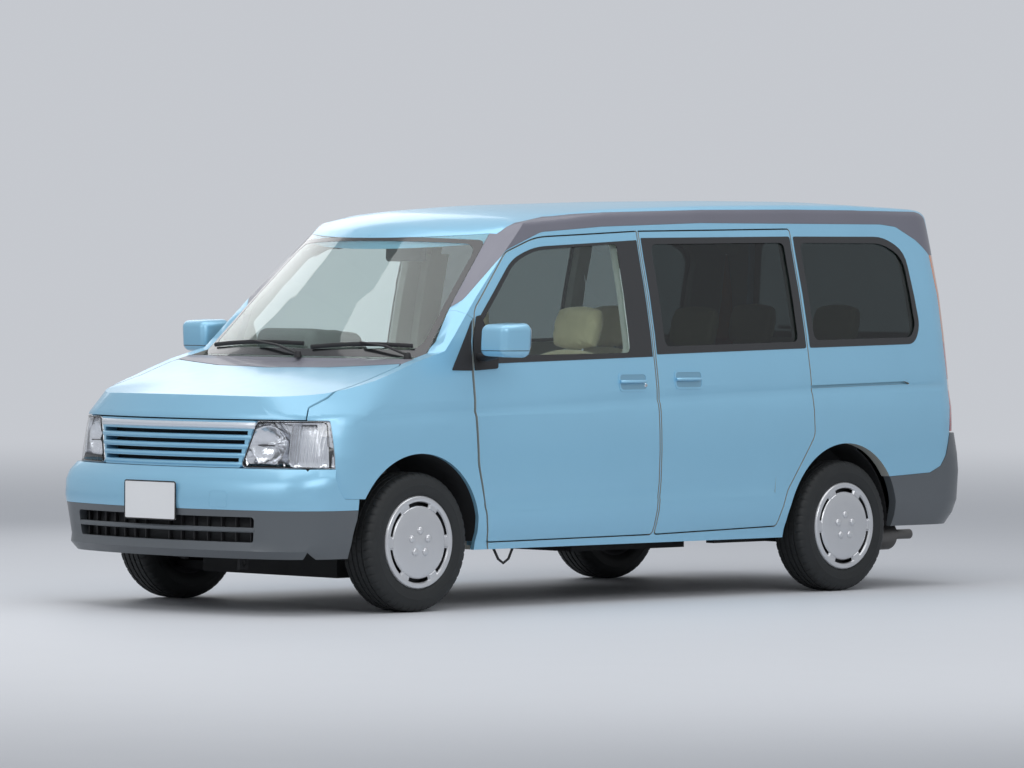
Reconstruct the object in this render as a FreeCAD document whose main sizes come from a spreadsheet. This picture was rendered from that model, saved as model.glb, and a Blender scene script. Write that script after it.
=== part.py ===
import FreeCAD, Part
import math
import os

# A one-box family van with three rows of seats, a sliding door on the left and a lifting tailgate.
# Frame: the origin is on the ground at mid-length and mid-width, Z is up, the nose points to -Y
# and the vehicle's left side is +X. All lengths are in millimetres.

doc = FreeCAD.newDocument("minivan")
sheet = doc.addObject("Spreadsheet::Sheet", "sizes")

driving_sizes = [
    ("length_overall", 4670), ("width_overall", 1695), ("height_overall", 1845),
    ("wheelbase", 2803), ("front_overhang", 838), ("track_width", 1484),
    ("bumper_crown", 2100), ("nose_crown", 1750), ("tail_crown", 3000),
    ("bumper_corner", 275), ("rear_bumper_corner", 240), ("bumper_depth", 70),
    ("side_wall", 52), ("roof_wall", 34), ("hood_wall", 24), ("fender_wall", 20), ("tail_wall", 58),
    ("panel_gap", 6.5), ("fixed_gap", 0.8), ("seat_gap", 0.3), ("overrun", 60),
    ("glass_thickness", 5), ("glass_inset", 7), ("roof_edge_round", 56),
    ("tyre_radius", 308), ("tyre_width", 195), ("rim_radius", 194), ("rim_width", 168),
    ("cover_radius", 208), ("arch_radius", 384), ("arch_raise", 6), ("housing_radius", 390),
    ("housing_wall", 8), ("front_housing_inner", 455), ("rear_housing_inner", 575),
    ("floor_height", 300), ("floor_thickness", 60), ("cabin_floor", 385), ("post_depth", 45),
    ("plate_width", 330), ("plate_height", 165), ("plate_thickness", 6), ("plate_centre", 489),
    ("steering_rim_radius", 185), ("steering_rim_tube", 15), ("steering_offset", 370),
    ("kingpin_inset", 67), ("kingpin_lean", 15.5), ("hub_radius", 62), ("disc_radius", 120),
    ("disc_thickness", 22), ("strut_radius", 24), ("spring_radius", 58), ("axle_tube_radius", 38),
    ("engine_length", 460), ("engine_width", 700), ("engine_height", 520),
    ("tank_length", 760), ("tank_width", 620), ("tank_height", 190), ("exhaust_radius", 24),
    ("muffler_radius", 90), ("muffler_length", 430), ("seat_width", 500), ("cushion_thickness", 150),
    ("back_height", 560), ("headrest_width", 270),
    ("tow_eye_radius", 13), ("tow_eye_width", 14), ("press_depth", 6), ("cup_depth", 16),
]
for row, (name, value) in enumerate(driving_sizes, start=1):
    sheet.set(f"A{row}", name)
    sheet.set(f"B{row}", str(value))
    sheet.setAlias(f"B{row}", name)
doc.recompute()
S = {name: float(sheet.get(name)) for name, value in driving_sizes}

half_length = S["length_overall"] / 2
half_width = S["width_overall"] / 2
height = S["height_overall"]
front_axle = -half_length + S["front_overhang"]
rear_axle = front_axle + S["wheelbase"]
half_track = S["track_width"] / 2
UP = FreeCAD.Vector(0, 0, 1)
SIDE = FreeCAD.Vector(1, 0, 0)
ALONG = FreeCAD.Vector(0, 1, 0)
wide = half_width + S["overrun"]
gap = S["panel_gap"]
fixed = S["fixed_gap"]
seat = S["seat_gap"]


def vec(x, y, z):
    return FreeCAD.Vector(x, y, z)


def rounded_wire(points, inset=0.0):
    """points: (u, v, corner radius) in order; gives a closed list of edges in the u-v plane."""
    area = sum(a[0] * b[1] - b[0] * a[1] for a, b in zip(points, points[1:] + points[:1]))
    turn = 1.0 if area > 0 else -1.0
    lines = []
    for a, b in zip(points, points[1:] + points[:1]):
        du, dv = b[0] - a[0], b[1] - a[1]
        run = math.hypot(du, dv)
        nu, nv = -dv / run * turn, du / run * turn
        lines.append((a[0] + nu * inset, a[1] + nv * inset, du / run, dv / run))
    corners = []
    for i, point in enumerate(points):
        p, q = lines[i - 1], lines[i]
        cross = p[2] * q[3] - p[3] * q[2]
        if abs(cross) < 1e-6:
            corners.append((q[0], q[1], 0.0, p, q, cross))
            continue
        along = ((q[0] - p[0]) * q[3] - (q[1] - p[1]) * q[2]) / cross
        convex = cross * turn > 0
        radius = point[2] - inset if convex else point[2] + inset
        corners.append((p[0] + p[2] * along, p[1] + p[3] * along, max(radius, 0.0), p, q, cross))
    edges = []
    ends = []
    for u, v, radius, p, q, cross in corners:
        if radius <= 0.0:
            ends.append(((u, v), (u, v), None))
            continue
        angle = math.atan2(cross, p[2] * q[2] + p[3] * q[3])
        back = radius * math.tan(abs(angle) / 2)
        start = (u - p[2] * back, v - p[3] * back)
        finish = (u + q[2] * back, v + q[3] * back)
        bis = (q[2] - p[2], q[3] - p[3])
        size_bis = math.hypot(*bis)
        reach = radius / math.cos(angle / 2) - radius
        middle = (u + bis[0] / size_bis * reach, v + bis[1] / size_bis * reach)
        ends.append((start, finish, middle))
    for i, (start, finish, middle) in enumerate(ends):
        nxt = ends[(i + 1) % len(ends)][0]
        if middle is not None:
            edges.append(("arc", start, middle, finish))
        edges.append(("line", finish, nxt))
    return edges


def wire_on(edges, place):
    made = []
    for edge in edges:
        spots = [place(u, v) for u, v in edge[1:]]
        if edge[0] == "arc":
            made.append(Part.Arc(*spots).toShape())
        elif spots[0].distanceToPoint(spots[1]) > S["seat_gap"] / 10:
            made.append(Part.LineSegment(*spots).toShape())
    return Part.Wire(made)


def side_prism(points, x0, x1, inset=0.0):
    """A block whose outline is seen from the side; points are (y, z, radius)."""
    wire = wire_on(rounded_wire(points, inset), lambda u, v: vec(x0, u, v))
    return Part.Face(wire).extrude(vec(x1 - x0, 0, 0))


def front_prism(points, y0, y1, inset=0.0):
    wire = wire_on(rounded_wire(points, inset), lambda u, v: vec(u, y0, v))
    return Part.Face(wire).extrude(vec(0, y1 - y0, 0))


def plan_prism(points, z0, z1, inset=0.0):
    wire = wire_on(rounded_wire(points, inset), lambda u, v: vec(u, v, z0))
    return Part.Face(wire).extrude(vec(0, 0, z1 - z0))


def block(x0, x1, y0, y1, z0, z1):
    return Part.makeBox(x1 - x0, y1 - y0, z1 - z0, vec(x0, y0, z0))


def mirrored(shape):
    return shape.mirror(vec(0, 0, 0), SIDE)


def seen(share_points):
    """Side outline given as shares of half the length and of the height."""
    return [(y * half_length, z * height, r * height) for y, z, r in share_points]


def faced(share_points):
    """Front outline given as shares of half the width and of the height."""
    return [(x * half_width, z * height, r * height) for x, z, r in share_points]


# The outer form

# height, half width, nose reach, nose corner, tail reach, tail corner, front taper; heights are
# shares of the height, reaches are shares of half the length, the others of half the width
tower_shares = [
    (0.126, 0.924, 0.972, 0.325, 0.969, 0.236, 0.000),
    (0.163, 0.940, 0.972, 0.325, 0.969, 0.236, 0.000),
    (0.186, 0.960, 0.972, 0.325, 0.969, 0.236, 0.000),
    (0.224, 0.982, 0.972, 0.325, 0.969, 0.236, 0.000),
    (0.255, 0.989, 0.972, 0.325, 0.969, 0.236, 0.000),
    (0.299, 0.995, 0.972, 0.325, 0.969, 0.236, 0.000),
    (0.373, 1.000, 0.967, 0.354, 0.970, 0.236, 0.000),
    (0.423, 0.998, 0.963, 0.401, 0.971, 0.236, 0.000),
    (0.466, 0.993, 0.961, 0.460, 0.971, 0.236, 0.000),
    (0.504, 0.980, 0.944, 0.566, 0.968, 0.236, 0.000),
    (0.569, 0.962, 0.912, 0.661, 0.967, 0.236, 0.012),
    (0.657, 0.932, 0.839, 0.590, 0.966, 0.236, 0.022),
    (0.759, 0.889, 0.749, 0.531, 0.965, 0.236, 0.033),
    (0.856, 0.839, 0.651, 0.472, 0.960, 0.236, 0.038),
    (1.010, 0.766, 0.505, 0.413, 0.950, 0.236, 0.042),
]


taper_start = -0.150 * half_length


def plan_outline(z, half, nose, nose_corner, nose_crown, tail, tail_corner, tail_crown, taper=0.0):
    """One level of the body seen from above: crowned ends, round corners, straight sides."""
    def end(reach, corner, crown, way, half):
        centre_y = way * (reach - crown)
        corner_x = half - corner
        corner_y = centre_y + way * math.sqrt((crown - corner) ** 2 - corner_x ** 2)
        dx, dy = corner_x / (crown - corner), (corner_y - centre_y) / (crown - corner)
        touch = (dx * crown, centre_y + dy * crown)
        bx, by = dx + 1.0, dy
        run = math.hypot(bx, by)
        middle = (corner_x + corner * bx / run, corner_y + corner * by / run)
        return touch, middle, (half, corner_y), way * reach
    t0, m0, s0, tip0 = end(nose, nose_corner, nose_crown, -1, half - taper)
    t1, m1, s1, tip1 = end(tail, tail_corner, tail_crown, 1, half)
    full = (half, taper_start)

    def at(p, sign=1):
        return vec(sign * p[0], p[1], z)
    edges = [
        Part.Arc(at(t0, -1), vec(0, tip0, z), at(t0)).toShape(),
        Part.Arc(at(t0), at(m0), at(s0)).toShape(),
        Part.LineSegment(at(s0), at(full)).toShape(),
        Part.LineSegment(at(full), at(s1)).toShape(),
        Part.Arc(at(s1), at(m1), at(t1)).toShape(),
        Part.Arc(at(t1), vec(0, tip1, z), at(t1, -1)).toShape(),
        Part.Arc(at(t1, -1), at(m1, -1), at(s1, -1)).toShape(),
        Part.LineSegment(at(s1, -1), at(full, -1)).toShape(),
        Part.LineSegment(at(full, -1), at(s0, -1)).toShape(),
        Part.Arc(at(s0, -1), at(m0, -1), at(t0, -1)).toShape(),
    ]
    return Part.Wire(edges)


def tower(side_inset, nose_inset, tail_inset):
    wires = []
    for z, w, nose, nose_corner, tail, tail_corner, taper in tower_shares:
        wires.append(plan_outline(
            z * height, w * half_width - side_inset,
            nose * half_length - nose_inset, nose_corner * half_width - side_inset, S["nose_crown"],
            tail * half_length - tail_inset, tail_corner * half_width - side_inset, S["tail_crown"],
            taper * half_width))
    return Part.makeLoft(wires, True, True)


# place along, centre height and drop at full half width: shares of half length, height, height
hood_shares = [
    (-1.000, 0.470, 0.050), (-0.965, 0.487, 0.040), (-0.938, 0.516, 0.030), (-0.836, 0.540, 0.028),
    (-0.742, 0.565, 0.018), (-0.640, 0.597, 0.004), (-0.540, 0.628, 0.002),
]
roof_shares = [
    (-1.000, 0.800, 0.050), (-0.620, 0.800, 0.050), (-0.471, 0.845, 0.095), (-0.428, 0.897, 0.150),
    (-0.407, 0.920, 0.139), (-0.385, 0.933, 0.125), (-0.343, 0.948, 0.088), (-0.300, 0.957, 0.052), (-0.214, 0.970, 0.035), (-0.073, 0.981, 0.027),
    (0.214, 0.993, 0.025), (0.480, 0.999, 0.025), (0.664, 1.000, 0.025), (0.857, 0.993, 0.026),
    (0.935, 0.985, 0.028), (1.000, 0.974, 0.030),
]


def top_limit(rows, inset):
    """Everything below a crowned top surface that is given as cross-sections along the body."""
    wires = []
    for y, crown_z, drop in rows:
        y, top, low = y * half_length, crown_z * height - inset, (crown_z - drop) * height - inset
        floor = -S["overrun"]
        edges = [
            Part.LineSegment(vec(-wide, y, floor), vec(wide, y, floor)).toShape(),
            Part.LineSegment(vec(wide, y, floor), vec(wide, y, low)).toShape(),
            Part.Arc(vec(wide, y, low), vec(0, y, top), vec(-wide, y, low)).toShape(),
            Part.LineSegment(vec(-wide, y, low), vec(-wide, y, floor)).toShape(),
        ]
        wires.append(Part.Wire(edges))
    return Part.makeLoft(wires, True, True)


# height, centre place, glass edge (half width, place), pillar corner (half width, place); heights
# are shares of the height, half widths of half the width, places of half the length
screen_shares = [
    (-0.050, -0.757, 0.872, -0.699, 0.930, -0.690), (0.440, -0.757, 0.872, -0.699, 0.930, -0.690),
    (0.610, -0.642, 0.852, -0.578, 0.903, -0.576), (0.753, -0.541, 0.770, -0.471, 0.822, -0.466),
    (0.897, -0.428, 0.688, -0.356, 0.759, -0.335), (1.050, -0.300, 0.600, -0.235, 0.700, -0.200),
]


def screen_limit(inset):
    """Everything behind the windscreen's curved surface and the flat front of its two pillars."""
    wires = []
    for z, front, glass_x, glass_y, corner_x, corner_y in screen_shares:
        centre = vec(0, front * half_length + inset, z * height)
        glass = vec(glass_x * half_width, glass_y * half_length + inset, z * height)
        corner = vec(corner_x * half_width, corner_y * half_length + inset, z * height)
        side = vec(wide, corner.y + wide - corner.x, z * height)
        back = vec(wide, half_length + S["overrun"], z * height)
        row = [glass, corner, side, back]
        far = [vec(-p.x, p.y, p.z) for p in row]
        edges = [Part.Arc(far[0], centre, glass).toShape()]
        round_trip = row + far[::-1]
        for start, finish in zip(round_trip, round_trip[1:]):
            edges.append(Part.LineSegment(start, finish).toShape())
        wires.append(Part.Wire(edges))
    return Part.makeLoft(wires, True, True)


def soften_roof(form, radius):
    """Rounds the long edge between the roof and the body sides."""
    chosen = []
    for edge in form.Edges:
        box = edge.BoundBox
        outboard = abs(edge.CenterOfMass.x) > 0.70 * half_width
        if box.ZMin > 0.93 * height and outboard and box.YLength > box.XLength:
            chosen.append(edge)
    return form.makeFillet(radius, chosen)


def cabin_form(side_inset, top_inset, screen_inset, tail_inset, roof_round=0):
    form = tower(side_inset, side_inset, tail_inset)
    form = form.common(top_limit(roof_shares, top_inset))
    if roof_round:
        form = soften_roof(form, roof_round)
    return form.common(screen_limit(screen_inset))


def nose_form(side_inset, top_inset, nose_inset):
    form = tower(side_inset, nose_inset, S["tail_wall"])
    return form.common(top_limit(hood_shares, top_inset))


# Pressed lines along the body side: place along, height; shares of half length and of height
shoulder_shares = [(-0.862, 0.4560), (-0.590, 0.4725), (-0.293, 0.4845), (-0.012, 0.4965), (0.279, 0.5085), (0.579, 0.5175), (0.900, 0.5265)]
rocker_shares = [(-0.470, 0.2390), (-0.440, 0.2420), (-0.012, 0.2520), (0.350, 0.2580)]


def side_reach(y, z):
    """Half width of the body side at a place along and a height, away from the rounded ends."""
    share = z / height
    low, high = next((a, b) for a, b in zip(tower_shares, tower_shares[1:]) if share <= b[0])
    part = (share - low[0]) / (high[0] - low[0])
    half, nose, corner, taper = [low[i] + (high[i] - low[i]) * part for i in (1, 2, 3, 6)]
    if y >= taper_start:
        return half * half_width
    corner_radius = corner * half_width
    corner_x = (half - taper) * half_width - corner_radius
    run = math.sqrt((S["nose_crown"] - corner_radius) ** 2 - corner_x ** 2)
    corner_y = S["nose_crown"] - nose * half_length - run
    return half * half_width - taper * half_width * (taper_start - y) / (taper_start - corner_y)


def pressed_line(rows, profile):
    """A long cutter that takes a shallow stepped groove out of the left body side."""
    wires = []
    for y, z in rows:
        y, z = y * half_length, z * height
        corners = [vec(side_reach(y, z + rise) - deep, y, z + rise) for rise, deep in profile]
        corners.append(vec(wide, y, corners[-1].z))
        corners.append(vec(wide, y, corners[0].z))
        wires.append(Part.makePolygon(corners + corners[:1]))
    return Part.makeLoft(wires, True, True)


press = S["press_depth"]
shoulder = pressed_line(shoulder_shares, [(-4 * press, -seat), (0, press), (2.5 * press, press / 2), (9 * press, -seat)])
rocker = pressed_line(rocker_shares, [(-press, -seat), (press, 0.6 * press), (14 * press, -seat)])
creases = shoulder.fuse(rocker)
creases = creases.fuse(mirrored(creases))
outer_cabin = cabin_form(0, 0, 0, 0, S["roof_edge_round"]).cut(creases)
inner_cabin = cabin_form(S["side_wall"], S["roof_wall"], S["side_wall"], S["tail_wall"])
cabin_shell = outer_cabin.cut(inner_cabin)


def front_form(inset, top_inset, nose_inset):
    ahead = block(-wide, wide, -half_length, -0.36 * half_length, 0, height)
    return nose_form(inset, top_inset, nose_inset).fuse(cabin_form(inset, inset, inset, inset).common(ahead))


outer_front = front_form(0, 0, 0).cut(creases)
front_shell = outer_front.cut(front_form(S["fender_wall"], S["hood_wall"], S["bumper_depth"]))
front_deep = outer_front.cut(front_form(S["bumper_depth"], S["bumper_depth"], S["bumper_depth"]))

parts = {}


def add_shape(label, shape):
    feature = doc.addObject("Part::Feature", label)
    feature.Shape = shape
    feature.Label = label
    parts[label] = feature
    return feature


def arch_cut(axle_y, radius, x0, x1):
    centre = vec(x0, axle_y, S["tyre_radius"] + S["arch_raise"])
    low = block(x0, x1, axle_y - radius, axle_y + radius, -S["overrun"], centre.z)
    return Part.makeCylinder(radius, x1 - x0, centre, SIDE).fuse(low)


# Side outlines as shares of half the length and of the height: place, height, corner radius

front_door_shares = [
    (-0.444, 0.158, 0.012), (-0.472, 0.274, 0.100), (-0.488, 0.350, 0.150), (-0.4935, 0.480, 0.150),
    (-0.489, 0.571, 0.080), (-0.4635, 0.721, 0.060), (-0.354, 0.861, 0.060), (-0.267, 0.899, 0.250),
    (0.0125, 0.9165, 0.004), (0.0125, 0.161, 0.012),
]
front_window_shares = [
    (-0.421, 0.606, 0.012), (-0.455, 0.682, 0.010), (-0.337, 0.838, 0.050), (-0.275, 0.869, 0.150),
    (-0.048, 0.886, 0.016), (-0.052, 0.611, 0.016),
]
sliding_door_shares = [
    (0.0150, 0.161, 0.012), (0.0150, 0.9165, 0.004), (0.461, 0.927, 0.012), (0.466, 0.400, 0.040),
    (0.388, 0.262, 0.080), (0.369, 0.170, 0.012),
]
middle_window_shares = [
    (0.040, 0.620, 0.016), (0.040, 0.889, 0.016), (0.443, 0.898, 0.016), (0.443, 0.630, 0.016),
]
rear_window_shares = [
    (0.478, 0.633, 0.016), (0.478, 0.898, 0.016), (0.740, 0.898, 0.060), (0.802, 0.862, 0.040),
    (0.806, 0.664, 0.030), (0.786, 0.640, 0.020),
]
# Lower edge of the grey garnish, from the foot of the windscreen pillar back to the tail lamp
garnish_foot_shares = [(-0.600, 0.612, 0.0), (-0.566, 0.627, 0.010), (-0.547, 0.643, 0.010), (-0.497, 0.720, 0.0)]
garnish_line_shares = [
    (-0.497, 0.720, 0.0), (-0.3495, 0.865, 0.060), (-0.2505, 0.910, 0.080), (-0.086, 0.925, 0.200),
    (0.200, 0.9375, 0.300), (0.740, 0.9405, 0.060), (0.786, 0.9345, 0.040), (0.8416, 0.901, 0.040),
    (0.882, 0.8625, 0.0),
]
body_side_shares = [(-0.438, 0.142, 0.004), (-0.460, 0.300, 0.0), (-0.460, 0.693, 0.0)] + garnish_line_shares + [
    (0.890, 0.745, 0.0), (0.888, 0.628, 0.0), (0.892, 0.497, 0.0), (0.883, 0.396, 0.010),
    (0.868, 0.341, 0.010), (0.850, 0.313, 0.010), (0.819, 0.297, 0.020), (0.660, 0.288, 0.0),
    (0.660, 0.142, 0.004),
]
fender_shares = [
    (-0.441, 0.142, 0.0), (-0.4735, 0.274, 0.080), (-0.491, 0.350, 0.120), (-0.4965, 0.480, 0.120),
    (-0.492, 0.571, 0.060), (-0.470, 0.700, 0.0),
] + garnish_foot_shares[::-1] + [
    (-0.900, 0.560, 0.0), (-0.900, 0.4595, 0.0), (-0.851, 0.4595, 0.004), (-0.851, 0.3455, 0.004),
    (-0.859, 0.326, 0.010), (-0.852, 0.298, 0.010), (-0.838, 0.2755, 0.010), (-0.760, 0.273, 0.0),
    (-0.760, 0.142, 0.0),
]
garnish_shares = garnish_foot_shares[:-1] + garnish_line_shares + [
    (1.000, 0.8625, 0.0), (1.000, 1.050, 0.0), (-0.620, 1.050, 0.0),
]
screen_side_shares = [(0.872, 0.575, 0.0), (0.690, 0.893, 0.0), (0.660, 0.945, 0.0),
                      (-0.660, 0.945, 0.0), (-0.690, 0.893, 0.0), (-0.872, 0.575, 0.0)]
inboard = half_width / 2


def side_piece(shell, outline_shares, inset=0.0):
    return shell.common(side_prism(seen(outline_shares), inboard, wide, inset))


def window_cut(outline_shares, inset=0.0):
    return side_prism(seen(outline_shares), inboard, wide, inset)


thick = S["glass_thickness"]
pane_shell = tower(S["glass_inset"], thick, thick).cut(tower(S["glass_inset"] + thick, 2 * thick, 2 * thick))



def handle_cup(y_share, z_share):
    """A round-ended recess in a door skin for the fingers behind the handle."""
    half_long, half_high = 0.0385 * half_length, 0.0225 * height
    y, z, r = y_share * half_length, z_share * height, half_high * 0.8
    outline = [(y - half_long, z - half_high, r), (y + half_long, z - half_high, r),
               (y + half_long, z + half_high, r), (y - half_long, z + half_high, r)]
    return side_prism(outline, inboard, wide).cut(tower(S["cup_depth"], 0, 0))


front_door = side_piece(cabin_shell, front_door_shares, gap).cut(window_cut(front_window_shares))
front_door = front_door.cut(handle_cup(-0.055, 0.542))
front_pane = side_piece(pane_shell, front_window_shares, seat)
slide_door = side_piece(cabin_shell, sliding_door_shares, gap).cut(window_cut(middle_window_shares))
slide_door = slide_door.cut(handle_cup(0.104, 0.546))
middle_pane = side_piece(pane_shell, middle_window_shares, seat)
rear_pane = side_piece(pane_shell, rear_window_shares, seat)
add_shape("door_front_left", front_door)
add_shape("door_front_right", mirrored(front_door))
add_shape("door_glass_left", front_pane)
add_shape("door_glass_right", mirrored(front_pane))
add_shape("sliding_door", slide_door)
add_shape("sliding_door_glass", middle_pane)
add_shape("quarter_glass_left", rear_pane)
add_shape("side_glass_right", mirrored(Part.makeCompound([middle_pane, rear_pane])))


def solid_of(shape):
    """Keeps the largest solid of a boolean result."""
    return max(shape.Solids, key=lambda solid: solid.Volume)


def wheel_room(axle_y, x0, x1, clear):
    """The round space that a wheel housing and its wall take up, grown by a clearance."""
    centre = vec(x0, axle_y, S["tyre_radius"])
    return Part.makeCylinder(S["housing_radius"] + S["housing_wall"] + clear, x1 - x0, centre, SIDE)


def upright_post(y0, y1, outer_inset, inner_inset, low_share, high_share):
    """An upright bar that follows the lean of the body side at a set depth behind it."""
    levels = [row for row in tower_shares if low_share <= row[0] <= high_share]
    outer = [(row[1] * half_width - outer_inset, row[0] * height, 0.0) for row in levels]
    inner = [(row[1] * half_width - inner_inset, row[0] * height, 0.0) for row in levels]
    return front_prism(outer + inner[::-1], y0, y1)


floor_low = S["floor_height"]
floor_high = floor_low + S["floor_thickness"]
sill_low = 0.142 * height + fixed / 2
sill_inner = 0.760 * half_width
pillar_inner = 0.875 * half_width
pillar_outer = 0.940 * half_width
pillar_front = -0.525 * half_length
centre_post_y = 0.01375 * half_length
hinge_height_shares = [0.300, 0.500]
hinge_half = 0.012 * height


def make_sill():
    """The boxed sill inboard of the door's lower edge, from the front pillar to the rear arch."""
    sill = block(sill_inner, 0.862 * half_width, pillar_front, rear_axle, sill_low, floor_high)
    foot = block(sill_inner, 0.890 * half_width, pillar_front, rear_axle, sill_low, 0.152 * height)
    sill = sill.fuse(foot).cut(wheel_room(front_axle, 0, wide, seat)).cut(wheel_room(rear_axle, 0, wide, seat))
    low = block(0, wide, front_axle - S["housing_radius"], front_axle + S["arch_radius"], 0, S["tyre_radius"])
    rear_low = block(0, wide, rear_axle - S["arch_radius"], rear_axle, 0, S["tyre_radius"])
    return sill.cut(low).cut(rear_low)


def make_hinge_pillar():
    """Upright behind the fender that carries the front door on two hinge pads."""
    pillar = upright_post(pillar_front, -0.430 * half_length, S["side_wall"], S["side_wall"] + S["post_depth"], 0.163, 0.569)
    pads = []
    for share in hinge_height_shares:
        z = share * height
        pads.append(block(pillar_inner, pillar_outer, -0.510 * half_length, -0.460 * half_length, z - hinge_half, z + hinge_half))
    pillar = pillar.cut(side_prism(seen(front_door_shares), 0, wide))
    pads = pads[0].fuse(pads[1]).cut(side_prism(seen(front_door_shares), 0, wide, gap - seat))
    return pillar.fuse(pads).cut(wheel_room(front_axle, 0, wide, seat))


def make_centre_post():
    """Post behind the meeting edges of the two doors, with a pad that each door closes on."""
    half = 1.4 * S["post_depth"]
    depth = S["side_wall"] + gap
    post = upright_post(centre_post_y - half, centre_post_y + half, depth, depth + S["post_depth"], 0.163, 0.856)
    for way in (-1, 1):
        ends = sorted((centre_post_y + way * 0.4 * half, centre_post_y + way * 0.8 * half))
        post = post.fuse(upright_post(ends[0], ends[1], S["side_wall"] + seat, depth + gap, 0.466, 0.569))
    return post


def slide_rail_slot():
    """The long slot behind the sliding door that its middle roller runs in."""
    outline = seen([(0.455, 0.5195, 0.0), (0.455, 0.5270, 0.0), (0.749, 0.5345, 0.002), (0.776, 0.5255, 0.002), (0.749, 0.5270, 0.0)])
    return side_prism(outline, inboard, wide).cut(tower(0.4 * S["side_wall"], 0, 0))


def make_body_side(has_sliding_door):
    side = side_piece(cabin_shell, body_side_shares, fixed / 2)
    side = side.cut(window_cut(front_door_shares))
    if has_sliding_door:
        side = side.cut(window_cut(sliding_door_shares)).cut(slide_rail_slot())
        post_join = upright_post(centre_post_y - fixed, centre_post_y + fixed, S["side_wall"] - gap, S["side_wall"] + 2 * gap, 0.163, 0.856)
    else:
        side = side.cut(window_cut(middle_window_shares))
        post_join = upright_post(centre_post_y, centre_post_y + gap, S["side_wall"] - gap, S["side_wall"] + 2 * gap, 0.163, 0.856)
    side = side.cut(window_cut(rear_window_shares))
    side = side.cut(arch_cut(rear_axle, S["arch_radius"], inboard, wide))
    side = side.cut(front_prism(faced(screen_side_shares), -half_length, -0.30 * half_length, -seat))
    side = side.fuse([make_sill(), make_hinge_pillar(), make_centre_post(), post_join])
    return solid_of(side)


tail_half = 0.770 * half_width


add_shape("body_side_left", make_body_side(True))
add_shape("body_side_right", mirrored(make_body_side(False)))

# Plan outline of the hood: shares of half the width and of half the length
hood_edge_shares = [
    (1.200, -1.100), (0.818, -0.872), (0.836, -0.856), (0.855, -0.836), (0.873, -0.783),
    (0.879, -0.660), (0.856, -0.649), (0.430, -0.688), (0.0, -0.702),
]


def both_sides(share_points):
    """Mirrors a half outline that starts at the side and ends on the centre line."""
    right = [(x * half_width, y * half_length, 0.0) for x, y in share_points]
    left = [(-x, y, r) for x, y, r in reversed(right) if x > 0]
    return right + left


lamp_top = 0.4575 * height
glass_foot = 0.602 * height
lamp_end = -0.851 * half_length


def make_hood():
    zone = plan_prism(both_sides(hood_edge_shares), lamp_top + gap, height)
    return solid_of(front_shell.common(zone))


hood = make_hood()
add_shape("hood", hood)


def make_fender():
    fender = side_piece(front_shell, fender_shares, fixed / 2)
    fender = fender.cut(block(0, 0.873 * half_width, -0.656 * half_length, 0, 0.50 * height, glass_foot))
    fender = fender.cut(front_prism(faced(screen_side_shares), -0.650 * half_length, 0, -fixed))
    fender = fender.cut(block(0, 0.800 * half_width, -half_length, -0.650 * half_length, 0, height))
    zone = plan_prism(both_sides(hood_edge_shares), lamp_top + fixed / 2, height, -gap)
    fender = fender.cut(zone)
    return solid_of(fender.cut(arch_cut(front_axle, S["arch_radius"], inboard, wide)))


fender = make_fender()
add_shape("fender_left", fender)
add_shape("fender_right", mirrored(fender))

lamp_shares = [(0.526, 0.3465, 0.010), (1.1, 0.3465, 0.0), (1.1, 0.4575, 0.0), (0.603, 0.4575, 0.010)]


def make_headlamp():
    ahead = front_prism(faced(lamp_shares), -half_length, lamp_end - fixed)
    return solid_of(front_deep.common(ahead))


lamp = make_headlamp()
add_shape("headlamp_left", lamp)
add_shape("headlamp_right", mirrored(lamp))

grille_shares = [(0.519, 0.3463, 0.004), (0.596, 0.4575, 0.004), (-0.596, 0.4575, 0.004), (-0.519, 0.3463, 0.004)]
slot_height_shares = [0.364, 0.385, 0.4065, 0.428]


def make_grille():
    grille = front_deep.common(front_prism(faced(grille_shares), -half_length, -half_length * 0.88))
    for level in slot_height_shares:
        z = level * height
        reach = (0.500 + (level - 0.345) * 0.64) * half_width
        half_slot = 0.0052 * height
        slot = [(-reach, z - half_slot, 0.0), (reach, z - half_slot, 0.0), (reach, z + half_slot, 0.0), (-reach, z + half_slot, 0.0)]
        grille = grille.cut(front_prism(slot, -half_length, 0))
    return grille


add_shape("grille", make_grille())

# height, half width, reach: shares of height, half width, half length
front_bumper_shares = [
    (0.133, 0.925, 0.982), (0.152, 0.940, 0.996), (0.172, 0.955, 0.991), (0.238, 0.985, 0.996),
    (0.265, 0.993, 1.000), (0.303, 0.998, 0.997), (0.325, 0.999, 0.988), (0.3455, 0.985, 0.971),
]
rear_bumper_shares = [
    (0.160, 0.930, 0.980), (0.190, 0.960, 0.994), (0.224, 0.983, 1.000), (0.300, 0.997, 1.000),
    (0.345, 0.999, 0.995), (0.398, 0.998, 0.985),
]


def bumper_form(rows, inset, front):
    """The bumper's outer form; an inset one also runs past its top and bottom, for cutting."""
    beyond = S["overrun"] if inset else 0
    levels = [(rows[0][0] * height - beyond,) + rows[0][1:]] + [
        (z * height, w, reach) for z, w, reach in rows[1:-1]] + [(rows[-1][0] * height + beyond,) + rows[-1][1:]]
    wires = []
    for z, w, reach in levels:
        far_reach = half_length / 2 + inset
        front_reach = reach * half_length - inset if front else far_reach
        rear_reach = far_reach if front else reach * half_length - inset
        wires.append(plan_outline(
            z, w * half_width - inset, front_reach, S["bumper_corner"] - inset, S["bumper_crown"],
            rear_reach, S["rear_bumper_corner"] - inset, S["tail_crown"]))
    return Part.makeLoft(wires, True, True)


bumper_wall = 0.6 * S["bumper_depth"]


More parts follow.
